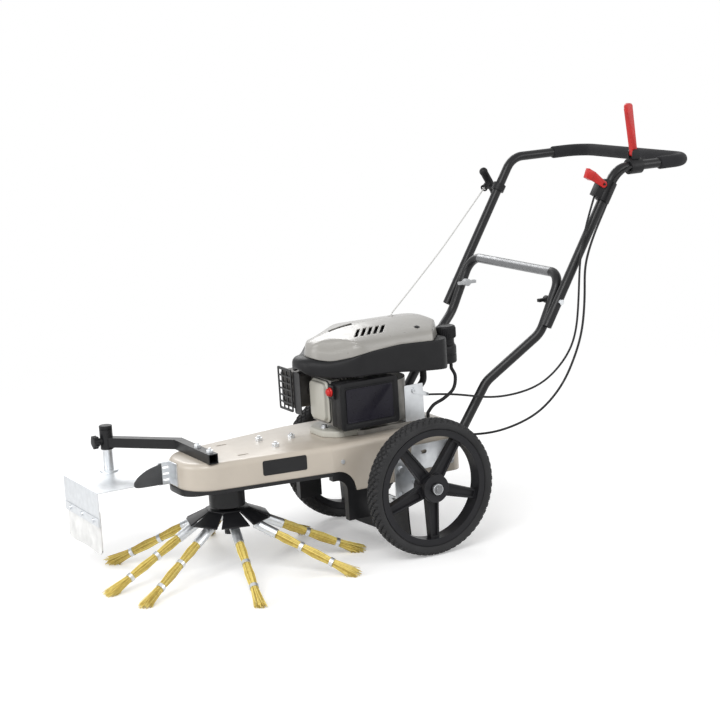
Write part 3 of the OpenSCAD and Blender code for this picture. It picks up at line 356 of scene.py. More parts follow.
def corner_arc(before, corner, after, radius, steps):
    """Points of the arc that rounds a corner between two straight runs."""
    a = (before - corner).normalized()
    b = (after - corner).normalized()
    half = a.angle(b) / 2
    middle = corner + (a + b).normalized() * radius / sin(half)
    first = corner + a * radius / tan(half) - middle
    last = corner + b * radius / tan(half) - middle
    turn = pi - 2 * half
    return [
        middle + (first * sin((1 - t) * turn) + last * sin(t * turn)) / sin(turn)
        for t in shares(steps)
    ]


def bent_path(points, radius, steps=10):
    """Straight runs between points, with an arc at each point between."""
    path = [points[0]]
    for before, corner, after in zip(points, points[1:], points[2:]):
        path += corner_arc(before, corner, after, radius, steps)
    return path + [points[-1]]


def ring_faces(count, size, closed=False, first=0):
    """Faces over rings of vertices: closed in a loop, or capped at both ends."""
    faces = []
    for i in range(count if closed else count - 1):
        a, b = first + i * size, first + (i + 1) % count * size
        for k in range(size):
            j = (k + 1) % size
            faces.append((a + k, a + j, b + j, b + k))
    if not closed:
        end = first + (count - 1) * size
        faces.append(tuple(reversed(range(first, first + size))))
        faces.append(tuple(range(end, end + size)))
    return faces


def loft(name, rings, slot, closed=False):
    """A mesh over rings of equal numbers of points, in metres."""
    verts = [v for ring in rings for v in ring]
    return add_mesh(name, verts, ring_faces(len(rings), len(rings[0]), closed), slot)


def add_tube(name, path, radii, slot, sides):
    """A round tube along path, with a radius for each of its points."""
    rings = []
    side = None
    for i, point in enumerate(path):
        ahead = (path[min(i + 1, len(path) - 1)] - path[max(i - 1, 0)]).normalized()
        if side is None:
            side = ahead.orthogonal().normalized()
        side = (side - ahead * side.dot(ahead)).normalized()
        other = ahead.cross(side)
        rings.append([
            point + radii[i] * (cos(a) * side + sin(a) * other) for a in turns(sides)
        ])
    return loft(name, rings, slot)


# Sizes shared by several pieces, as in the part's source

FOLD = (-402, 426)
GRIP_Z = 752
UP_Y = 246
UP = Vector((-187, GRIP_Z - FOLD[1] - 22)).normalized()
UP_BEND_X = FOLD[0] + UP.x * (GRIP_Z - FOLD[1]) / UP.y
CLAMP_X = UP_BEND_X - 38
THROTTLE_S = 315
GUIDE_S = 289
SPEED_END = (-84, 206)
DECK_BACK = 150
COWL_TOP_Z = 402


def tube_pt(s, f, y):
    """A point s up the upper tube from the fold, f in front of it, at side y."""
    return mm(FOLD[0] + s * UP.x + f * UP.y, y, FOLD[1] + s * UP.y - f * UP.x)


EYE = tube_pt(GUIDE_S, 0, -UP_Y) + Vector((22, -42, -3)) * MM
ROPE_EXIT = (-60, -30)
ROPE_OUT = mm(*ROPE_EXIT, COWL_TOP_Z + 4)
ROPE_U = (ROPE_OUT - EYE).normalized()
DOWN = Vector((0, 0, -MM))


# Rounded copies of CAD nodes

WELD = 2e-5
FLAT_ANGLE = 0.6
SHARP_ANGLE = 32
ROUND_SEGMENTS = 3


def stand_in(work, mesh, node, body):
    """Show an edited mesh in place of a CAD node."""
    work.to_mesh(mesh)
    work.free()
    mesh.shade_smooth()
    seat(add_object(mesh.name, mesh), body, node)


def rounded_copy(node, body, width, move=None):
    """A copy of a CAD node with its sharp edges rounded, its points moved first by a move."""
    mesh = nodes[node].data.copy()
    mesh.name = node + "_rounded"
    if move:
        for vertex in mesh.vertices:
            x, y, z = vertex.co
            vertex.co = mm(*move(x / MM, y / MM, (z - AXLE_Z) / MM))
    work = bmesh.new()
    work.from_mesh(mesh)
    bmesh.ops.remove_doubles(work, verts=work.verts, dist=WELD)
    bmesh.ops.dissolve_limit(
        work, angle_limit=radians(FLAT_ANGLE), verts=work.verts, edges=work.edges
    )
    sharp_edges = [
        edge
        for edge in work.edges
        if edge.is_manifold and edge.calc_face_angle() > radians(SHARP_ANGLE)
    ]
    bmesh.ops.bevel(
        work, geom=sharp_edges, offset=width * MM, segments=ROUND_SEGMENTS, profile=0.5,
        affect="EDGES", clamp_overlap=True,
    )
    stand_in(work, mesh, node, body)


ROUNDED = (
    ("valve_cover", "chassis", 3.0),
    ("air_filter_cover", "chassis", 2.5),
    ("air_filter_base", "chassis", 1.5),
    ("muffler", "chassis", 3.0),
    ("clutch_clamp", "upper_handle", 1.2),
    ("throttle_housing", "upper_handle", 1.5),
    ("clutch_lever", "clutch_lever", 2.5),
    ("throttle_lever", "throttle_lever", 1.5),
    ("wing_knob_left", "wing_knob_left", 2.0),
    ("wing_knob_right", "wing_knob_right", 2.0),
    ("guard_knob", "guard_knob", 2.0),
    ("guard_cap", "guard_cap", 2.0),
)
SHEET_ROUND = 1.0
LIP_Z = 53
LIP_NOSE_Z = 46
LIP_FROM = 560
LIP_REACH = 40
PETAL_END = 110
PETAL_SHORTER = 16
PETAL_WIDER = 1.6


def short_rim(x, y, z):
    """The belt cover's rim, shallow along the sides and deeper round the nose."""
    share = clamped((x - LIP_FROM) / LIP_REACH)
    return x, y, max(z, LIP_Z + (LIP_NOSE_Z - LIP_Z) * share)


def wide_petal(x, y, z):
    """The hub's petals, shorter and spread so that together they read as a folded dish."""
    turn = degrees(atan2(y, x - SPINDLE_X))
    radius = hypot(x - SPINDLE_X, y)
    if radius < PETAL_END:
        return x, y, z
    pitch = 360 / TUFTS
    middle = radians(TUFT_PHASE + pitch * round((turn - TUFT_PHASE) / pitch))
    along = radius * cos(radians(turn) - middle) - PETAL_SHORTER * cos(DROOP)
    across = radius * sin(radians(turn) - middle) * PETAL_WIDER
    return (
        SPINDLE_X + along * cos(middle) - across * sin(middle),
        along * sin(middle) + across * cos(middle),
        z + PETAL_SHORTER * sin(DROOP),
    )


CROSSBAR_Y = 0.12


def add_lower_handle():
    """The lower handle in two finishes: black tubes, and a grey steel crossbar that is a painted
    reflection on the black tube.
    """
    for name, slot, middle in (("handle_tubes", "black_metal", False), ("handle_bar_painted_reflection", "steel", True)):
        mesh = nodes["lower_handle"].data.copy()
        mesh.name = name
        work = bmesh.new()
        work.from_mesh(mesh)
        other = [f for f in work.faces if (abs(f.calc_center_median().y) < CROSSBAR_Y) != middle]
        bmesh.ops.delete(work, geom=other, context="FACES")
        mesh.materials.clear()
        mesh.materials.append(MATERIALS[slot])
        stand_in(work, mesh, "lower_handle", "chassis")


# Lofted sheet and moulded covers

LEAST_R = 1.0
ARC_STEPS = 9


def plan_ring(points, radii, inset, side_step=6.0):
    """Points round a convex outline with rounded corners, moved in by inset, in millimetres."""
    count = len(points)
    corners = [Vector(p) for p in points]

    def outward(i):
        along = (corners[(i + 1) % count] - corners[i]).normalized()
        return Vector((along.y, -along.x))

    moved = []
    for i in range(count):
        a, b = outward(i - 1), outward(i)
        moved.append(corners[i] - inset * (a + b) / (1 + a.dot(b)))
    arcs = []
    for i in range(count):
        radius = max(radii[i] - inset, LEAST_R)
        arcs.append(corner_arc(moved[i - 1], moved[i], moved[(i + 1) % count], radius, ARC_STEPS))
    ring = []
    for i in range(count):
        ring += arcs[i]
        steps = max(1, int((corners[(i + 1) % count] - corners[i]).length / side_step))
        a, b = arcs[i][-1], arcs[(i + 1) % count][0]
        ring += [a.lerp(b, k / steps) for k in range(1, steps)]
    return ring


def level_rings(plan, radii, levels):
    """Rings of an outline, at levels of (inset, height) in millimetres."""
    return [[mm(p.x, p.y, z) for p in plan_ring(plan, radii, inset)] for inset, z in levels]


def cut(obj, cutters):
    """Take the cutters out of obj, and remove them."""
    for cutter in cutters:
        tool = obj.modifiers.new(cutter.name, "BOOLEAN")
        tool.operation = "DIFFERENCE"
        tool.solver = "EXACT"
        tool.object = cutter
    graph = bpy.context.evaluated_depsgraph_get()
    mesh = bpy.data.meshes.new_from_object(obj.evaluated_get(graph))
    obj.modifiers.clear()
    obj.data = mesh
    for cutter in cutters:
        bpy.data.objects.remove(cutter)


def prism(name, outline, low, high):
    """A cutter with a flat outline, between two heights above the axle, in millimetres."""
    rings = [[mm(x, y, z) for x, y in outline] for z in (low, high)]
    return loft(name, rings, "black_metal")


CIRCLE_STEPS = 40
SLOT_END_STEPS = 8


def circle_points(x, y, radius):
    return [(x + radius * cos(a), y + radius * sin(a)) for a in turns(CIRCLE_STEPS)]


def slot_points(x, y, length, radius):
    half_turn = [pi * (t - 0.5) for t in shares(SLOT_END_STEPS)]
    reach = length / 2 - radius
    ahead = [(x + reach + radius * cos(a), y + radius * sin(a)) for a in half_turn]
    return ahead + [(2 * x - px, 2 * y - py) for px, py in ahead]


DECK_PLAN = ((600, -92), (600, 92), (232, 148), (-150, 148), (-150, -148), (232, -148))
DECK_RADII = (84, 84, 4, 30, 30, 4)
DECK_Z = 130
DECK_EDGE = 15
DECK_EDGE_STEPS = 6
DECK_BAND = 20
DECK_STEP = 3.0
DECK_CUT = (DECK_Z - 8, DECK_Z + 5)
CRANK_X = 15
CRANK_HOLE_R = 35
DECK_SLOT_X = 441
DECK_SLOT_Y = 64
DECK_SLOT_L = 30
DECK_SLOT_R = 3.5
SHEET = 3
STEP_X = 225
STEP_R = 55
SKIRT_Z = 62
REAR_Z = 5


def skirt_low(x):
    """Height of the deck's lower edge: high along the nose, with a round step down."""
    if x >= STEP_X:
        return SKIRT_Z
    if x <= STEP_X - STEP_R:
        return REAR_Z
    return SKIRT_Z - STEP_R + sqrt(STEP_R**2 - (STEP_X - x) ** 2)


def add_deck():
    """The deck's folded sheet: its skin and its inside, joined at the lower edge."""
    quarter = [pi / 2 * t for t in shares(DECK_EDGE_STEPS)]

    def levels(inset, band_z):
        radius = DECK_EDGE - inset
        return [(inset, None), (inset, band_z - inset)] + [
            (inset + radius * (1 - cos(a)), DECK_Z - inset - radius * (1 - sin(a)))
            for a in quarter
        ]

    def ring(inset, z):
        flat = plan_ring(DECK_PLAN, DECK_RADII, inset, side_step=DECK_STEP)
        return [mm(p.x, p.y, skirt_low(p.x) if z is None else z) for p in flat]

    band_z = DECK_Z - DECK_EDGE - DECK_BAND
    inner = [ring(*level) for level in reversed(levels(SHEET, band_z))]
    deck = loft("deck_sheet", inner + [ring(*level) for level in levels(0, band_z)], "beige")
    cutters = [prism("crank_hole", circle_points(CRANK_X, 0, CRANK_HOLE_R), *DECK_CUT)]
    for y in (-DECK_SLOT_Y, DECK_SLOT_Y):
        outline = slot_points(DECK_SLOT_X, y, DECK_SLOT_L, DECK_SLOT_R)
        cutters.append(prism("deck_slot", outline, *DECK_CUT))
    cut(deck, cutters)
    seat(deck, "chassis", "deck")


FIN_CURVE = ((26, 6), (70, 7), (93, 8.5), (101, 12), (103, 19), (99, 27), (86, 39), (62, 51), (26, 60))
FIN_CURVE_STEPS = 6
FIN_STEPS = ((0.965, 0), (1, 1), (1, 3), (0.965, 4))


def add_fin():
    """The deflector fin ahead of the nose, with its leaf-shaped edge."""
    low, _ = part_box("nose_deflector")
    base = low - Vector((FIN_CURVE[0][0], 0, FIN_CURVE[0][1])) * MM
    edge = smooth_path([Vector((x, 0, z)) for x, z in FIN_CURVE], FIN_CURVE_STEPS)
    middle = sum(edge, Vector()) / len(edge)
    rings = [
        [base + (middle + (p - middle) * share + Vector((0, y, 0))) * MM for p in edge]
        for share, y in FIN_STEPS
    ]
    fin = loft("nose_fin", rings, "deflector")
    seat(fin, "chassis", "nose_deflector", BROAD_CREASE)


PLATE_CENTRE = (358, 129, 100)
PLATE_HALF = (58, 19)
PLATE_R = 5
FILTER_MARGIN = 17
PLATE_STEPS = ((0, -0.6), (0, 0.5), (0.5, 0.9), (3, 0.9), (3.4, 0.6))


def add_plate(name, centre, along, half, slot):
    """A bare upright plate, where a label would be."""
    up = Vector((0, 0, 1))
    out = up.cross(along)
    wide, tall = half
    corners = ((-wide, -tall), (wide, -tall), (wide, tall), (-wide, tall))
    rings = []
    for inset, lift in PLATE_STEPS:
        flat = plan_ring(corners, (PLATE_R + inset,) * len(corners), inset)
        rings.append([centre + (along * p.x + up * p.y + out * lift) * MM for p in flat])
    plate = loft(name, rings, slot)
    seat(plate, "chassis", crease=FINE_CREASE)
    return plate


def add_plates():
    """The plates on the deck's side and on the air filter's cover."""
    side = Vector((DECK_PLAN[1][0] - DECK_PLAN[2][0], DECK_PLAN[1][1] - DECK_PLAN[2][1], 0))
    add_plate("deck_plate", mm(*PLATE_CENTRE), side.normalized(), PLATE_HALF, "black_metal")
    low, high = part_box("air_filter_cover")
    middle = (low + high) / 2
    middle.y = high.y
    half = ((high.x - low.x) / 2 / MM - FILTER_MARGIN, (high.z - low.z) / 2 / MM - FILTER_MARGIN)
    panel = add_plate("filter_plate", middle, Vector((1, 0, 0)), half, "black_plastic")
    panel.data.materials[0] = MATERIALS["label"]


SHROUD_PLAN = ((246, -30), (246, 30), (140, 141), (-142, 141), (-142, -141), (140, -141))
SHROUD_RADII = (68, 68, 60, 46, 46, 60)
COWL_PLAN = (
    (216, -8), (222, 34), (132, 140), (-84, 140), (-141, 66), (-141, -140), (132, -140),
)
COWL_RADII = (60, 60, 58, 14, 20, 40, 58)
TUCK_FROM = 132
TUCK = 0.79
SEAM = (
    (-142, 353), (-90, 355), (-60, 356.3), (-20, 358.3), (14, 359.7), (45, 358), (90, 354.8),
    (108, 352.7), (124, 349.6), (138, 345.6), (150, 341.3), (160, 338.2), (170, 334.8),
    (180, 331.9), (188, 331.5), (198, 332.8), (208, 334.6), (216, 338), (222, 340.3),
)
SHROUD_LOW = (
    (-142, 271), (-110, 275), (-80, 277), (-50, 279.5), (0, 285), (40, 289.3), (84, 291.6),
    (120, 293.4), (150, 292), (181, 289), (204, 290.8), (228, 292.7), (235, 296), (240, 301),
    (243.6, 305), (246, 312),
)
COWL_SIDE = (
    (-141, 390), (-138, 396), (-132, 400), (-120, 402.5), (-60, 406), (0, 409), (40, 410),
    (70, 409), (100, 405.5), (130, 399), (160, 391.5), (185, 384.5), (200, 379), (210, 371),
    (216, 362), (220, 352), (222, 344),
)
COWL_CROSS = (
    (0, 409), (30, 405.5), (55, 399.5), (80, 393.5), (105, 387.5), (118, 383.5), (127, 380),
    (131.5, 376), (134.5, 370.5), (137, 364), (140, 354),
)
COWL_WALL = (
    (0, 0), (1, 8), (2.5, 20), (4.5, 33), (7, 42), (10, 48), (14, 52), (22, 57), (42, 66),
)
COWL_FAR_FALL = ((70, 0), (120, 0.18), (160, 0.32), (222, 0.36))
RIDGE_EASE = 14
COWL_TOP_EASE = 20.0
COWL_WALL_EASE = 5.0
COWL_LEAST = 1.2
SEAM_LAP = 0.2
SOFTEN_STEPS = 4


def table_at(table, x):
    """A table's value at x, straight between its points."""
    return float(np.interp(x, *zip(*table)))


def softened(table, reach):
    """A table with its corners eased over a reach, as a function."""
    spread = [reach * (2 * t - 1) for t in shares(2 * SOFTEN_STEPS)]
    return lambda x: sum(table_at(table, x + d) for d in spread) / len(spread)


seam_at = softened(SEAM, 6)
shroud_low_at = softened(SHROUD_LOW, 6)
cowl_side_at = softened(COWL_SIDE, 7)
cowl_cross_at = softened(COWL_CROSS, 2.5)


def eased_min(a, b, ease):
    """The lesser of two heights, with the corner between them eased."""
    dip = max(ease - abs(a - b), 0) / ease
    return min(a, b) - dip * dip * ease / 4


def cowl_height(x, y, inset=None):
    """Height of the cowl over a point: its profiles, falling off past the ridge, and its wall."""
    height = eased_min(cowl_side_at(x), cowl_cross_at(abs(y)), COWL_TOP_EASE)
    past = clamped(RIDGE_EASE - y, 0, 2 * RIDGE_EASE)
    beyond = past**2 / (4 * RIDGE_EASE) + max(-RIDGE_EASE - y, 0)
    height -= table_at(COWL_FAR_FALL, x) * beyond
    if inset is not None:
        height = eased_min(height, seam_at(x) + table_at(COWL_WALL, inset), COWL_WALL_EASE)
    return max(height, seam_at(x) + COWL_LEAST)


def tucked(x):
    """Where a point of the shroud's nose comes to, once drawn back to the cowl's edge."""
    return x if x < TUCK_FROM else TUCK_FROM + (x - TUCK_FROM) * TUCK


def shroud_ring(inset, draw, share, drop):
    """A ring of the shroud, its nose drawn back, a share of the way up from its lower edge."""
    ring = []
    for p in plan_ring(SHROUD_PLAN, SHROUD_RADII, inset):
        low, high = shroud_low_at(p.x), seam_at(tucked(p.x))
        z = low + (high - low) * share - drop
        ring.append(mm(p.x + (tucked(p.x) - p.x) * draw, p.y, z))
    return ring


SHROUD_LEVELS = (
    (3.4, 0.2, 0, -4), (3.0, 0.2, 0, -0.6), (2.0, 0.15, 0, 0), (0.6, 0.05, 0, -1.4), (0, 0, 0, -5),
    (0, 0, 0.3, 0), (0, 0.02, 0.55, 0), (0, 0.12, 0.72, 0), (0, 0.35, 0.86, 0), (0, 0.65, 0.94, 0),
    (0.5, 0.9, 1, 1.6), (1.4, 1, 1, 0.8), (16, 1, 1, 2), (42, 1, 1, 3), (42, 1, 1, 6),
    (6, 0.9, 1, 7), (3.4, 0.4, 0.6, 0),
)


def add_shroud():
    rings = [shroud_ring(*level) for level in SHROUD_LEVELS]
    shroud = loft("shroud_moulding", rings, "black_plastic", closed=True)
    seat(shroud, "chassis", "blower_shroud")


SHELL = 3
COWL_SPINE = (-40, 110)
COWL_SPINE_SHARES = (0.85, 0.68, 0.5, 0.32, 0.16, 0.03)
COWL_INSETS = (0, 0.6, 1.4, 2.6, 4.2, 6.2, 8.6, 11.5, 15, 19, 24, 30, 36, 42)
VENTS = 5
VENT_STEP = 18.4
VENT_TOP = (85, 54)
VENT_LOW = (120, 100)
VENT_HALF = 5.2
VENT_CUT = (360, 420)
INTAKE = ((72, -8), (142, -6), (150, 12), (82, 12))
INTAKE_CUT = (355, 420)
ROPE_HOLE_R = 9
ROPE_CUT = (370, 420)


def cowl_rings(sink, spread):
    """Rings over the cowl from its edge to its spine, sunk and spread in by a shell."""
    rings = []
    for inset in COWL_INSETS:
        flat = plan_ring(COWL_PLAN, COWL_RADII, inset + spread)
        rings.append([mm(p.x, p.y, cowl_height(p.x, p.y, inset + spread) - sink) for p in flat])
    spine = [Vector((clamped(p.x, *COWL_SPINE), 0)) for p in flat]
    for share in COWL_SPINE_SHARES:
        inner = [c.lerp(p, share) for c, p in zip(spine, flat)]
        rings.append([mm(p.x, p.y, cowl_height(p.x, p.y) - sink) for p in inner])
    return rings


def cowl_edge(inset):
    flat = plan_ring(COWL_PLAN, COWL_RADII, inset)
    return [mm(p.x, p.y, seam_at(p.x) - SEAM_LAP) for p in flat]


def add_cowl():
    outer = [cowl_edge(0)] + cowl_rings(0, 0)
    inner = [cowl_edge(SHELL)] + cowl_rings(SHELL, SHELL)
    cowl = loft("cowl_shell", list(reversed(inner)) + outer, "cowl_beige")
    cutters = []
    for k in range(VENTS):
        top, low = VENT_TOP[0] - VENT_STEP * k, VENT_LOW[0] - VENT_STEP * k
        outline = (
            (top - VENT_HALF, VENT_TOP[1]), (top + VENT_HALF, VENT_TOP[1]),
            (low + VENT_HALF, VENT_LOW[1]), (low - VENT_HALF, VENT_LOW[1]),
        )
        cutters.append(prism("vent_cut", outline, *VENT_CUT))
    cutters.append(prism("intake_cut", INTAKE, *INTAKE_CUT))
    cutters.append(prism("rope_cut", circle_points(*ROPE_EXIT, ROPE_HOLE_R), *ROPE_CUT))
    cut(cowl, cutters)
    seat(cowl, "chassis", "cowl", BROAD_CREASE)


# Turned pieces

AXIS_R = 0.02


def add_turned(name, profile, place, slot, steps, ripple=None, hollow=False):
    """A piece turned about the Z axis of place from (radius, height) points, in millimetres."""
    rings = []
    for radius, height in profile:
        ring = []
        for a in turns(steps):
            r = max(radius + (ripple(a, height) if ripple else 0), AXIS_R)
            ring.append(place @ Vector((r * cos(a), r * sin(a), height)))
        rings.append(ring)
    return loft(name, rings, slot, closed=hollow)


def axis_place(x, y, z, turn=None):
    """The place of a turned piece: its foot, in millimetres, and the turn of its axis."""
    scale = Matrix.Diagonal((MM, MM, MM, 1))
    return Matrix.Translation(mm(x, y, z)) @ (turn or Matrix.Identity(4)) @ scale


CAP = (-172, 58, 352)
CAP_PROFILE = (
    (0, 0.4), (21.4, 0.4), (21.4, -13.7), (24, -13.9), (25.2, -13), (25.5, -11), (25.5, 12),
    (25.2, 15), (24, 17.5), (21.5, 19), (19.5, 19), (18.6, 18), (12, 18), (0, 18.2),
)
CAP_RIBS = 34
CAP_RIB_STEPS = 8
CAP_RIB_H = 1.1
CAP_RIB_FLOOR = -0.4
CAP_RIB_SPAN = (-12, 15)


def add_fuel_cap():
    def ribs(a, height):
        if not CAP_RIB_SPAN[0] < height < CAP_RIB_SPAN[1]:
            return 0
        return CAP_RIB_H * max(cos(CAP_RIBS * a), CAP_RIB_FLOOR)

    steps = CAP_RIBS * CAP_RIB_STEPS
    cap = add_turned("fuel_cap_ribbed", CAP_PROFILE, axis_place(*CAP), "black_plastic", steps, ribs)
    seat(cap, "fuel_cap", "fuel_cap", BROAD_CREASE)


TANK_PLAN = ((-142.4, -92), (-142.4, 86), (-200, 86), (-200, -92))
TANK_RADII = (6, 6, 34, 26)
TANK_LEVELS = (
    (6, 272.0), (2, 272.6), (0.4, 274.6), (0, 277), (0, 294), (1.2, 294.6), (1.2, 296.4), (0, 297),
    (0, 313), (1, 317), (3, 319.2), (7, 320),
)
NECK_Z = 319
NECK_PROFILE = ((0, 0), (22, 0), (22, 4), (20.8, 5.4), (20.8, 33), (0, 33))


def add_tank():
    tank = loft("tank_moulding", level_rings(TANK_PLAN, TANK_RADII, TANK_LEVELS), "black_plastic")
    place = axis_place(CAP[0], CAP[1], NECK_Z)
    neck = add_turned("tank_neck", NECK_PROFILE, place, "black_plastic", steps=48)
    for piece in (tank, neck):
        seat(piece, "chassis", "fuel_tank")


SCREW = (-60, 101)
SCREW_PROFILE = (
    (0, -1), (7.5, -1), (7.5, 0.6), (7, 1), (6.2, 1), (5.9, 0.4), (4.4, 0.4), (4.4, 2.6), (3.9, 3.2),
    (1.6, 3.4), (1.5, 2.2), (0, 2.1),
)


def add_cowl_screw():
    """Screw and washer that hold the cowl, square to its skin."""
    x, y = SCREW
    slope = Vector((
        cowl_height(x - 1, y) - cowl_height(x + 1, y), cowl_height(x, y - 1) - cowl_height(x, y + 1), 2
    ))
    turn = slope.to_track_quat("Z", "Y").to_matrix().to_4x4()
    place = axis_place(x, y, cowl_height(x, y), turn)
    screw = add_turned("cowl_screw", SCREW_PROFILE, place, "black_metal", steps=36)
    seat(screw, "chassis")


FOOT_PLAN = ((206, -28), (206, 44), (176, 84), (112, 84), (112, -60), (170, -60))
FOOT_RADII = (34, 34, 30, 6, 6, 30)
FOOT_STEPS = ((1.5, 130.2), (0, 131.5), (0, 143), (1, 145.4), (3, 146.6), (7, 147))
FOOT_BOLT = (182, 14, 146.6)
FOOT_BOLT_PROFILE = ((0, 0), (11, 0), (11, 1.4), (10.4, 2), (7.4, 2), (7.2, 7), (6.2, 8), (0, 8.2))


def add_engine_foot():
    """The cast foot under the cylinder, with its bolt."""
    foot = loft("engine_foot", level_rings(FOOT_PLAN, FOOT_RADII, FOOT_STEPS), "valve_cover")
    bolt = add_turned("foot_bolt", FOOT_BOLT_PROFILE, axis_place(*FOOT_BOLT), "zinc", steps=36)
    for piece in (foot, bolt):
        seat(piece, "chassis")


GASKET_STEPS = ((1.2, 184.6), (0, 185), (0, 186.9), (1.2, 187.3))
GASKET_EDGE = 1.6
GASKET_R = 12


def add_gasket():
    """The dark gasket that shows between the valve cover and the head."""
    low, high = (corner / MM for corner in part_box("valve_cover"))
    y0, y1 = low.y - GASKET_EDGE, high.y + GASKET_EDGE
    z0, z1 = low.z - GASKET_EDGE - AXLE_Z / MM, high.z + GASKET_EDGE - AXLE_Z / MM
    corners = ((y0, z0), (y1, z0), (y1, z1), (y0, z1))
    radii = (GASKET_R,) * len(corners)
    rings = [
        [mm(x, p.x, p.y) for p in plan_ring(corners, radii, inset)] for inset, x in GASKET_STEPS
    ]
    seat(loft("cover_gasket", rings, "rubber"), "chassis")


PRIMER = (198, 92, 256)
PRIMER_PROFILE = (
    (0, -0.8), (11, -0.8), (11.9, 0), (11.9, 2.6), (11.2, 3.4), (10, 3.8), (9.8, 4.6), (10.1, 6),
    (9.8, 8), (8.6, 10), (6.4, 11.3), (3.4, 11.9), (0, 12),
)


def add_primer():
    forward = Matrix.Rotation(pi / 2, 4, "Y")
    bulb = add_turned("primer_dome", PRIMER_PROFILE, axis_place(*PRIMER, forward), "red", steps=40)
    seat(bulb, "primer_bulb", "primer_bulb", crease=None)


TRACK = 458
SIDES = (("left", 1), ("right", -1))
TYRE_HALF = ((148.3, 16.7), (151.5, 17), (153, 20.4), (156.5, 23.2), (161, 24.3), (165, 24.2))
TREAD_R = 173.4
TREAD_HALF = 23.6
TREAD_FALL = 6.4
TREAD_H = 4.6
TREAD_LUGS = 60
TREAD_RINGS = 36
LUG_STEPS = 12
LUG_SLANT = 1.3
LUG_PHASE = 0.25
LUG_WIDTH = 0.8
LUG_RAMP = 0.14
LUG_EDGE = 0.06
TYRE_WALL_STEPS = 3


def lug(turn, across):
    """Height share of the tread: diamond blocks between two crossing rows of grooves."""
    steps = turn * TREAD_LUGS / (2 * pi)
    deep = 1.0
    for slant in (LUG_SLANT, -LUG_SLANT):
        off = abs((steps + slant * across + LUG_PHASE) % 1.0 - 0.5) * 2
        deep = min(deep, clamped((LUG_WIDTH - off) / LUG_RAMP))
    return deep * clamped((1 - abs(across)) / LUG_EDGE)


def add_tyre(name, side):
    wall = smooth_path([Vector(p) for p in TYRE_HALF], TYRE_WALL_STEPS)
    tread = [1 - 2 * t for t in shares(TREAD_RINGS)]
    profile = [(p.x, p.y, 0) for p in wall]
    profile += [(TREAD_R - TREAD_FALL * abs(t) ** 3, TREAD_HALF * t, 1) for t in tread]
    profile += [(p.x, -p.y, 0) for p in reversed(wall)]
    rings = []
    for radius, y, treaded in profile:
        ring = []
        for a in turns(TREAD_LUGS * LUG_STEPS):
            r = radius + (TREAD_H * lug(a, y / TREAD_HALF) if treaded else 0)
            ring.append(mm(r * cos(a), side * TRACK / 2 + y, r * sin(a)))
        rings.append(ring)
    tyre = loft("tyre_tread_" + name, rings, "tyre", closed=True)
    seat(tyre, "wheel_" + name, "tyre_" + name, BROAD_CREASE)


BOSS_PROFILE = (
    (15.9, 29), (16.3, 30.3), (33.4, 30.3), (34.4, 30.8), (35.4, 30.6), (36.5, 29), (36.5, 20),
    (33, 18), (31, 18),
)
NUT_PROFILE = (
    (14.1, 30.6), (15.3, 30.6), (15.3, 35.5), (14.4, 38), (12.6, 40), (11.2, 40.4), (10.4, 39.9),
    (7.2, 39.9), (7, 41.6), (6.2, 42.4), (0, 42.6),
)


def add_wheel_centre(name, side):
    """The black boss over a wheel's hub, and the nut on the axle's end."""
    outward = Matrix.Rotation(-side * pi / 2, 4, "X")
    place = axis_place(0, side * TRACK / 2, 0, outward)
    boss = add_turned("wheel_boss_" + name, BOSS_PROFILE, place, "rim_black", steps=72, hollow=True)
    nut = add_turned("axle_nut_" + name, NUT_PROFILE, place, "steel", steps=48)
    seat(boss, "wheel_" + name, crease=FINE_CREASE)
    seat(nut, "chassis", crease=FINE_CREASE)


# Foam, flaps and hoses

FOAM_R = 17
FOAM_ENDS = ((0, 12.7), (0.4, 15.2), (1.6, 16.4), (4, 17.0))
FOAM_BEND_STEPS = 16
GRIP_X = -845
FOAM_X = 105
BEND_R = 60


def add_foam():
    """The foam sleeve round the grip, rounded off at both ends."""
    left, right = (
        [mm(GRIP_X + FOAM_X - d, y, GRIP_Z) for d, _ in FOAM_ENDS] for y in (UP_Y, -UP_Y)
    )
    corners = [left[-1], mm(GRIP_X, UP_Y, GRIP_Z), mm(GRIP_X, -UP_Y, GRIP_Z), right[-1]]
    path = left[:-1] + bent_path(corners, BEND_R * MM, FOAM_BEND_STEPS) + right[-2::-1]
    ends = [r for _, r in FOAM_ENDS]
    radii = ends + [FOAM_R] * (len(path) - 2 * len(ends)) + ends[::-1]
    foam = add_tube("foam_sleeve", path, [r * MM for r in radii], "foam", sides=32)
    seat(foam, "upper_handle", "foam_grip", crease=None)


FLAP_COLUMNS = 40
FLAP_ROWS = 16
FLAP_WAVE_TURN = 2.5 * pi
FLAP_WAVE_PHASE = 0.6
FLAP_CORNER = 12 * MM
FLAP_CORNER_FROM = 0.92


def add_flap(name, node, body, slot, sag, waves):
    """A hanging rubber sheet in its solid's place, bowing out towards its lower edge."""
    low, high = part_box(node)
    rings = []
    for across in shares(FLAP_COLUMNS):
        bow = sag + waves * sin(FLAP_WAVE_TURN * across + FLAP_WAVE_PHASE)
        y = low.y + (high.y - low.y) * across
        front = []
        for f in shares(FLAP_ROWS):
            front.append(Vector((high.x + bow * f**2, y, high.z + (low.z - high.z) * f)))
        off = (abs(2 * across - 1) - FLAP_CORNER_FROM) / (1 - FLAP_CORNER_FROM)
        front[-1].z += FLAP_CORNER * max(0.0, off)
        back = [p + Vector((low.x - high.x, 0, 0)) for p in reversed(front)]
        rings.append(front + back)
    seat(loft(name, rings, slot), body, node, BROAD_CREASE)


BREATHER = ((-74, 36, 142.2), (-74, 36, 192), (-100, 52, 234), (-100, 52, 290))
BREATHER_BEND_R = 26
BREATHER_R = 9


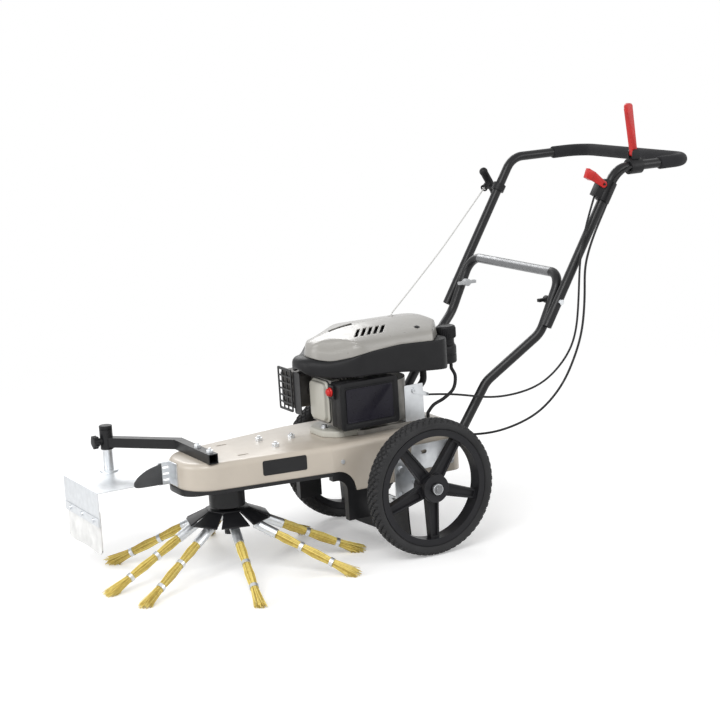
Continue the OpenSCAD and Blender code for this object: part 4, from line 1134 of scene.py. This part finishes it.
def add_breather():
    path = bent_path([mm(*p) for p in BREATHER], BREATHER_BEND_R * MM)
    tube = add_tube("breather_hose", path, [BREATHER_R * MM] * len(path), "rubber", sides=28)
    seat(tube, "chassis", "breather_tube")


# Bristle brush, with the same sizes as the part's source

SPINDLE_X = 465
TUFTS = 8
TUFT_PHASE = -60
TUFT_LEAN = (14, 16, -4, 1, 10, 0, -2, 0)
TUFT_D = 20
FLARE_D = 34
TIP_R = 345
HUB_TOP_Z = -14
HUB_FLAT_R = 50
HUB_T = 4
HOLDER_R = 88
HOLDER_D = TUFT_D + 5.2
TUFT_ROOT = 40
BAND_AT = (0.34, 0.68)
FLARE_FROM = 0.71
BULGE = 0.3
STRANDS_DRAWN = 130
STRAND_R = 0.75
STRAND_SIDES = 4
STRAND_RINGS = (0, 0.08, 0.17, 0.26, 0.34, 0.42, 0.52, 0.62, 0.71, 0.8, 0.9, 1)
STRAND_SEED = 7
STRAND_TURN = 2.39996
STRAND_REACH = (0.75, 1.12)
STRAND_TRIM = 0.09
STRAND_LOOSE = 4.8
TIP_PAST = 6
FLARE_CURVE = 1.2
PETAL_DROP = 0.3
HANG = PETAL_DROP + HUB_T + HOLDER_D / 2 + 0.2
HUB_DROP = HUB_TOP_Z + AXLE_Z / MM
DROOP = acos(HANG / hypot(HUB_DROP, TIP_R - HUB_FLAT_R)) - atan2(
    TIP_R - HUB_FLAT_R, HUB_DROP
)


def polar(radius, angle, z):
    """A point round the spindle, in millimetres."""
    a = radians(angle)
    return mm(SPINDLE_X + radius * cos(a), radius * sin(a), z)


def tuft_line(k):
    """Start under the hub's petal and tip on the ground, of tuft k."""
    base = TUFT_PHASE + k * 360 / TUFTS
    drop = (HOLDER_R - HUB_FLAT_R) * tan(DROOP) + HANG / cos(DROOP)
    return polar(HOLDER_R, base, HUB_TOP_Z - drop), polar(TIP_R, base + TUFT_LEAN[k], -AXLE_Z / MM)


def tuft_width(f, reach):
    """Radius share of a strand at part f of the tuft: pinched at the bands, open between."""
    if f > FLARE_FROM:
        t = (f - FLARE_FROM) / (1 - FLARE_FROM)
        return 1 + (FLARE_D / TUFT_D - 1) * t**FLARE_CURVE * reach
    a, b = (0, BAND_AT[0]) if f <= BAND_AT[0] else (BAND_AT[0], FLARE_FROM)
    return 1 + BULGE * sin(pi * (f - a) / (b - a)) ** 2


def strand_corners(start, ahead, length, j, rng):
    """Corners of a tuft's strand j, ring by ring, none of them below the ground."""
    side = ahead.cross(Vector((0, 0, 1))).normalized()
    other = side.cross(ahead)
    spread = (TUFT_D / 2 - STRAND_R) * sqrt((j + 0.5) / STRANDS_DRAWN)
    reach = rng.uniform(*STRAND_REACH)
    trim = 1 - STRAND_TRIM * rng.random()
    wander = rng.normal(0, 1.0, 2)
    corners = []
    for f in STRAND_RINGS:
        width = spread * tuft_width(f, reach)
        loose = STRAND_LOOSE * f * max(0.0, f - BAND_AT[1])
        across = width * cos(STRAND_TURN * j) + wander[0] * loose
        upward = width * sin(STRAND_TURN * j) + wander[1] * loose
        point = start + ahead * (TUFT_ROOT * MM + f * trim * length)
        point = point + (side * across + other * upward) * MM
        for a in turns(STRAND_SIDES):
            corner = point + STRAND_R * MM * (cos(a) * side + sin(a) * other)
            if corner.z < 0:
                corner = corner - ahead * (corner.z / ahead.z)
            corners.append(corner)
    return corners


def add_bristles():
    rng = np.random.default_rng(STRAND_SEED)
    verts, faces = [], []
    for k in range(TUFTS):
        start, tip = tuft_line(k)
        ahead = (tip - start).normalized()
        length = (tip - start).length + (TIP_PAST - TUFT_ROOT) * MM
        for j in range(STRANDS_DRAWN):
            faces += ring_faces(len(STRAND_RINGS), STRAND_SIDES, first=len(verts))
            verts += strand_corners(start, ahead, length, j, rng)
    seat(add_mesh("bristles", verts, faces, "bristle"), "brush", "bristle_tufts", crease=None)


# Cord routes, through the same points as the part's source, the rope's first bend as an arc

THROTTLE_ROUTE = [
    tube_pt(THROTTLE_S - 26.4, 27, UP_Y),
    tube_pt(THROTTLE_S - 38, 27, UP_Y),
    tube_pt(255, 27, UP_Y + 6),
    tube_pt(185, 22, UP_Y + 18),
    tube_pt(110, 2, UP_Y + 25),
    mm(FOLD[0] - 50, UP_Y + 25, FOLD[1] + 24),
    mm(FOLD[0] - 38, UP_Y + 22, FOLD[1] - 81),
    mm(FOLD[0] - 10, UP_Y + 14, FOLD[1] - 146),
    mm(-335, 245, 215),
    mm(-215, 225, 198),
    mm(-130, 180, 212),
    mm(SPEED_END[0] - 5, 112, SPEED_END[1] + 2),
    mm(SPEED_END[0] - 1, 102, SPEED_END[1]),
]
CLUTCH_ROUTE = [
    mm(CLAMP_X + 0.4, UP_Y + 17, GRIP_Z),
    mm(CLAMP_X + 12, UP_Y + 17, GRIP_Z),
    tube_pt(350, 6, UP_Y + 25),
    tube_pt(290, 2, UP_Y + 29),
    tube_pt(200, 4, UP_Y + 33),
    tube_pt(110, -8, UP_Y + 35),
    mm(FOLD[0] - 62, UP_Y + 35, FOLD[1] + 24),
    mm(FOLD[0] - 50, UP_Y + 32, FOLD[1] - 81),
    mm(FOLD[0] - 22, UP_Y + 22, FOLD[1] - 164),
    mm(-390, 258, 200),
    mm(-325, 240, 138),
    mm(-235, 210, 104),
    mm(-190, 160, 92),
    mm(-DECK_BACK - 12, 118, 88),
    mm(-DECK_BACK - 0.4, 118, 88),
]
HOSE_ROUTE = [
    mm(-170, 80, DECK_Z + 141.6),
    mm(-170, 80, DECK_Z + 130),
    mm(-176, 88, DECK_Z + 108),
    mm(-164, 95, DECK_Z + 78),
    mm(-134, 97, DECK_Z + 58),
    mm(-104, 92, DECK_Z + 44),
    mm(-88, 86, DECK_Z + 24),
    mm(-88, 86, DECK_Z + 12.4),
]
THROTTLE_D = 5.5 * MM
CLUTCH_D = 6.0 * MM
HOSE_D = 9 * MM
ROPE_D = 4 * MM
CORD_STEPS = 14
ROPE_STEPS = 12
CABLE_STEP = 5 * MM
CABLE_ROUNDS = 60
ROPE_START = mm(*ROPE_EXIT, COWL_TOP_Z - 15.5)
ROPE_BEND_R = 10 * MM
EYE_SIDE = EYE + 4 * MM * ROPE_U
ROPE_ROUTE = [
    ROPE_OUT - 120 * MM * ROPE_U + 5 * DOWN,
    ROPE_OUT - 320 * MM * ROPE_U + 9 * DOWN,
    EYE + 80 * MM * ROPE_U + 3 * DOWN,
    EYE_SIDE,
]
GRIP_STEM = EYE - 5.6 * MM * ROPE_U


def relaxed(path, step, rounds):
    """The path in even steps, its bends eased, with both ends and their leads held."""
    marks = np.array(path)
    along = np.concatenate([[0], np.cumsum(np.linalg.norm(np.diff(marks, axis=0), axis=1))])
    even = np.linspace(0, along[-1], int(along[-1] / step) + 1)
    points = np.stack([np.interp(even, along, marks[:, i]) for i in range(3)], axis=1)
    for _ in range(rounds):
        points[2:-2] += (points[1:-3] + points[3:-1] - 2 * points[2:-2]) / 4
    return [Vector(p) for p in points]


def add_cord(node, path, diameter, slot, sides):
    """A cord in its solid's place, from one end of its route to the other."""
    cord = add_tube(node + "_drawn", path, [diameter / 2] * len(path), slot, sides)
    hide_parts(node)
    return cord


def add_cords():
    for name, route, diameter in (
        ("throttle_cable", THROTTLE_ROUTE, THROTTLE_D),
        ("clutch_cable", CLUTCH_ROUTE, CLUTCH_D),
    ):
        path = relaxed(led_path(route, CORD_STEPS), CABLE_STEP, CABLE_ROUNDS)
        cable = add_cord(name, path, diameter, "rubber", sides=16)
        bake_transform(cable)
    hose_path = led_path(HOSE_ROUTE, CORD_STEPS)
    hose = add_cord("fuel_hose", hose_path, HOSE_D, "rubber", sides=20)
    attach(hose, "chassis")
    leaving = bent_path([ROPE_START, ROPE_OUT, ROPE_ROUTE[0]], ROPE_BEND_R)
    rope_path = leaving[:-1] + smooth_path(ROPE_ROUTE, ROPE_STEPS)
    rope = add_cord("starter_rope", rope_path, ROPE_D, "rope", sides=10)
    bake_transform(rope)
    pulled = [EYE_SIDE, EYE, GRIP_STEM]
    end = add_tube("starter_rope_end", pulled, [ROPE_D / 2] * len(pulled), "rope", sides=10)
    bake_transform(end)


# Stage and light

FLOOR_COLOUR = (0.86, 0.86, 0.86)
FLOOR_LIFT = 0.25
FLOOR_FADE = (1.0, 2.6)
FLOOR_HALF = 3.0
FLOOR_DROP = 0.0005
AMBIENT = 0.5
AIM = (0, 0, 0.4)
SOFTBOXES = (
    ("key", (2.6, 2.4, 3.4), AIM, (2.4, 2.4), 110),
    ("front", (3.6, -0.4, 1.5), (0.2, 0, 0.4), (1.8, 1.4), 40),
    ("fill", (-2.8, 3.0, 1.8), AIM, (2.0, 2.0), 42),
    ("rim", (-0.6, -3.2, 2.6), AIM, (2.4, 1.4), 50),
)


def camera_rays(tree):
    """Seen by the camera, or by it in a mirror or through glass."""
    path = add_node(tree, "LightPath")
    total = path.outputs["Is Camera Ray"]
    for name in ("Is Glossy Ray", "Is Transmission Ray"):
        most = add_node(tree, "Math", operation="MAXIMUM")
        tree.links.new(total, most.inputs[0])
        tree.links.new(path.outputs[name], most.inputs[1])
        total = most.outputs["Value"]
    return total


def floor_material():
    """Pale and matt, lifted a little for the camera, and fading out far from the object."""
    material = bpy.data.materials.new("floor")
    material.use_nodes = True
    tree = material.node_tree
    tree.nodes.clear()
    diffuse = add_node(tree, "BsdfDiffuse", {"Color": (*FLOOR_COLOUR, 1)})
    glow = add_node(tree, "Emission", {"Color": (FLOOR_LIFT, FLOOR_LIFT, FLOOR_LIFT, 1)})
    both = add_node(tree, "AddShader")
    place = add_node(tree, "TexCoord")
    far = add_node(tree, "VectorMath", operation="LENGTH")
    span = {"From Min": FLOOR_FADE[0], "From Max": FLOOR_FADE[1]}
    fade = add_node(tree, "MapRange", span, interpolation_type="SMOOTHSTEP")
    clear = add_node(tree, "BsdfTransparent")
    mix = add_node(tree, "MixShader")
    surface = add_node(tree, "OutputMaterial")
    tree.links.new(camera_rays(tree), glow.inputs["Strength"])
    for source, out, target, socket in (
        (diffuse, "BSDF", both, 0),
        (glow, "Emission", both, 1),
        (place, "Object", far, 0),
        (far, "Value", fade, "Value"),
        (fade, "Result", mix, "Fac"),
        (both, "Shader", mix, 1),
        (clear, "BSDF", mix, 2),
        (mix, "Shader", surface, "Surface"),
    ):
        tree.links.new(source.outputs[out], target.inputs[socket])
    return material


def add_floor():
    corners = ((-1, -1), (1, -1), (1, 1), (-1, 1))
    mesh = bpy.data.meshes.new("floor")
    mesh.from_pydata([(x * FLOOR_HALF, y * FLOOR_HALF, 0) for x, y in corners], [], [(0, 1, 2, 3)])
    mesh.materials.append(floor_material())
    floor = add_object("floor", mesh)
    floor.location.z = -FLOOR_DROP


def add_world():
    """White to the camera, and a dimmer light for the object."""
    world = bpy.data.worlds.new("studio")
    bpy.context.scene.world = world
    world.use_nodes = True
    tree = world.node_tree
    background = tree.nodes["Background"]
    background.inputs["Color"].default_value = (1, 1, 1, 1)
    spread = add_node(tree, "MapRange", {"To Min": AMBIENT, "To Max": 1.0})
    tree.links.new(camera_rays(tree), spread.inputs["Value"])
    tree.links.new(spread.outputs["Result"], background.inputs["Strength"])


def add_softbox(name, place, aim, size, power):
    data = bpy.data.lights.new(name, "AREA")
    data.shape = "RECTANGLE"
    data.size, data.size_y = size
    data.energy = power
    lamp = add_object(name, data)
    lamp.location = place
    lamp.rotation_euler = (Vector(aim) - Vector(place)).to_track_quat("-Z", "Y").to_euler()


add_camera()
paint_cad_nodes()
add_cords()
for node, body, width in ROUNDED:
    rounded_copy(node, body, width)
rounded_copy("belt_cover", "chassis", SHEET_ROUND, short_rim)
rounded_copy("brush_hub", "brush", SHEET_ROUND, wide_petal)
add_lower_handle()
add_deck()
add_fin()
add_plates()
add_shroud()
add_cowl()
add_cowl_screw()
add_tank()
add_fuel_cap()
add_primer()
add_gasket()
add_engine_foot()
for name, side in SIDES:
    add_tyre(name, side)
for name, side in SIDES:
    add_wheel_centre(name, side)
add_foam()
add_flap("rear_flap_sheet", "rear_flap", "chassis", "rubber", sag=-0.010, waves=0.004)
add_flap("guard_flap_sheet", "guard_flap", "guard", "pale_rubber", sag=0.0, waves=0.002)
add_breather()
add_bristles()
add_floor()
add_world()
for softbox in SOFTBOXES:
    add_softbox(*softbox)
bpy.context.scene.view_settings.view_transform = "Standard"
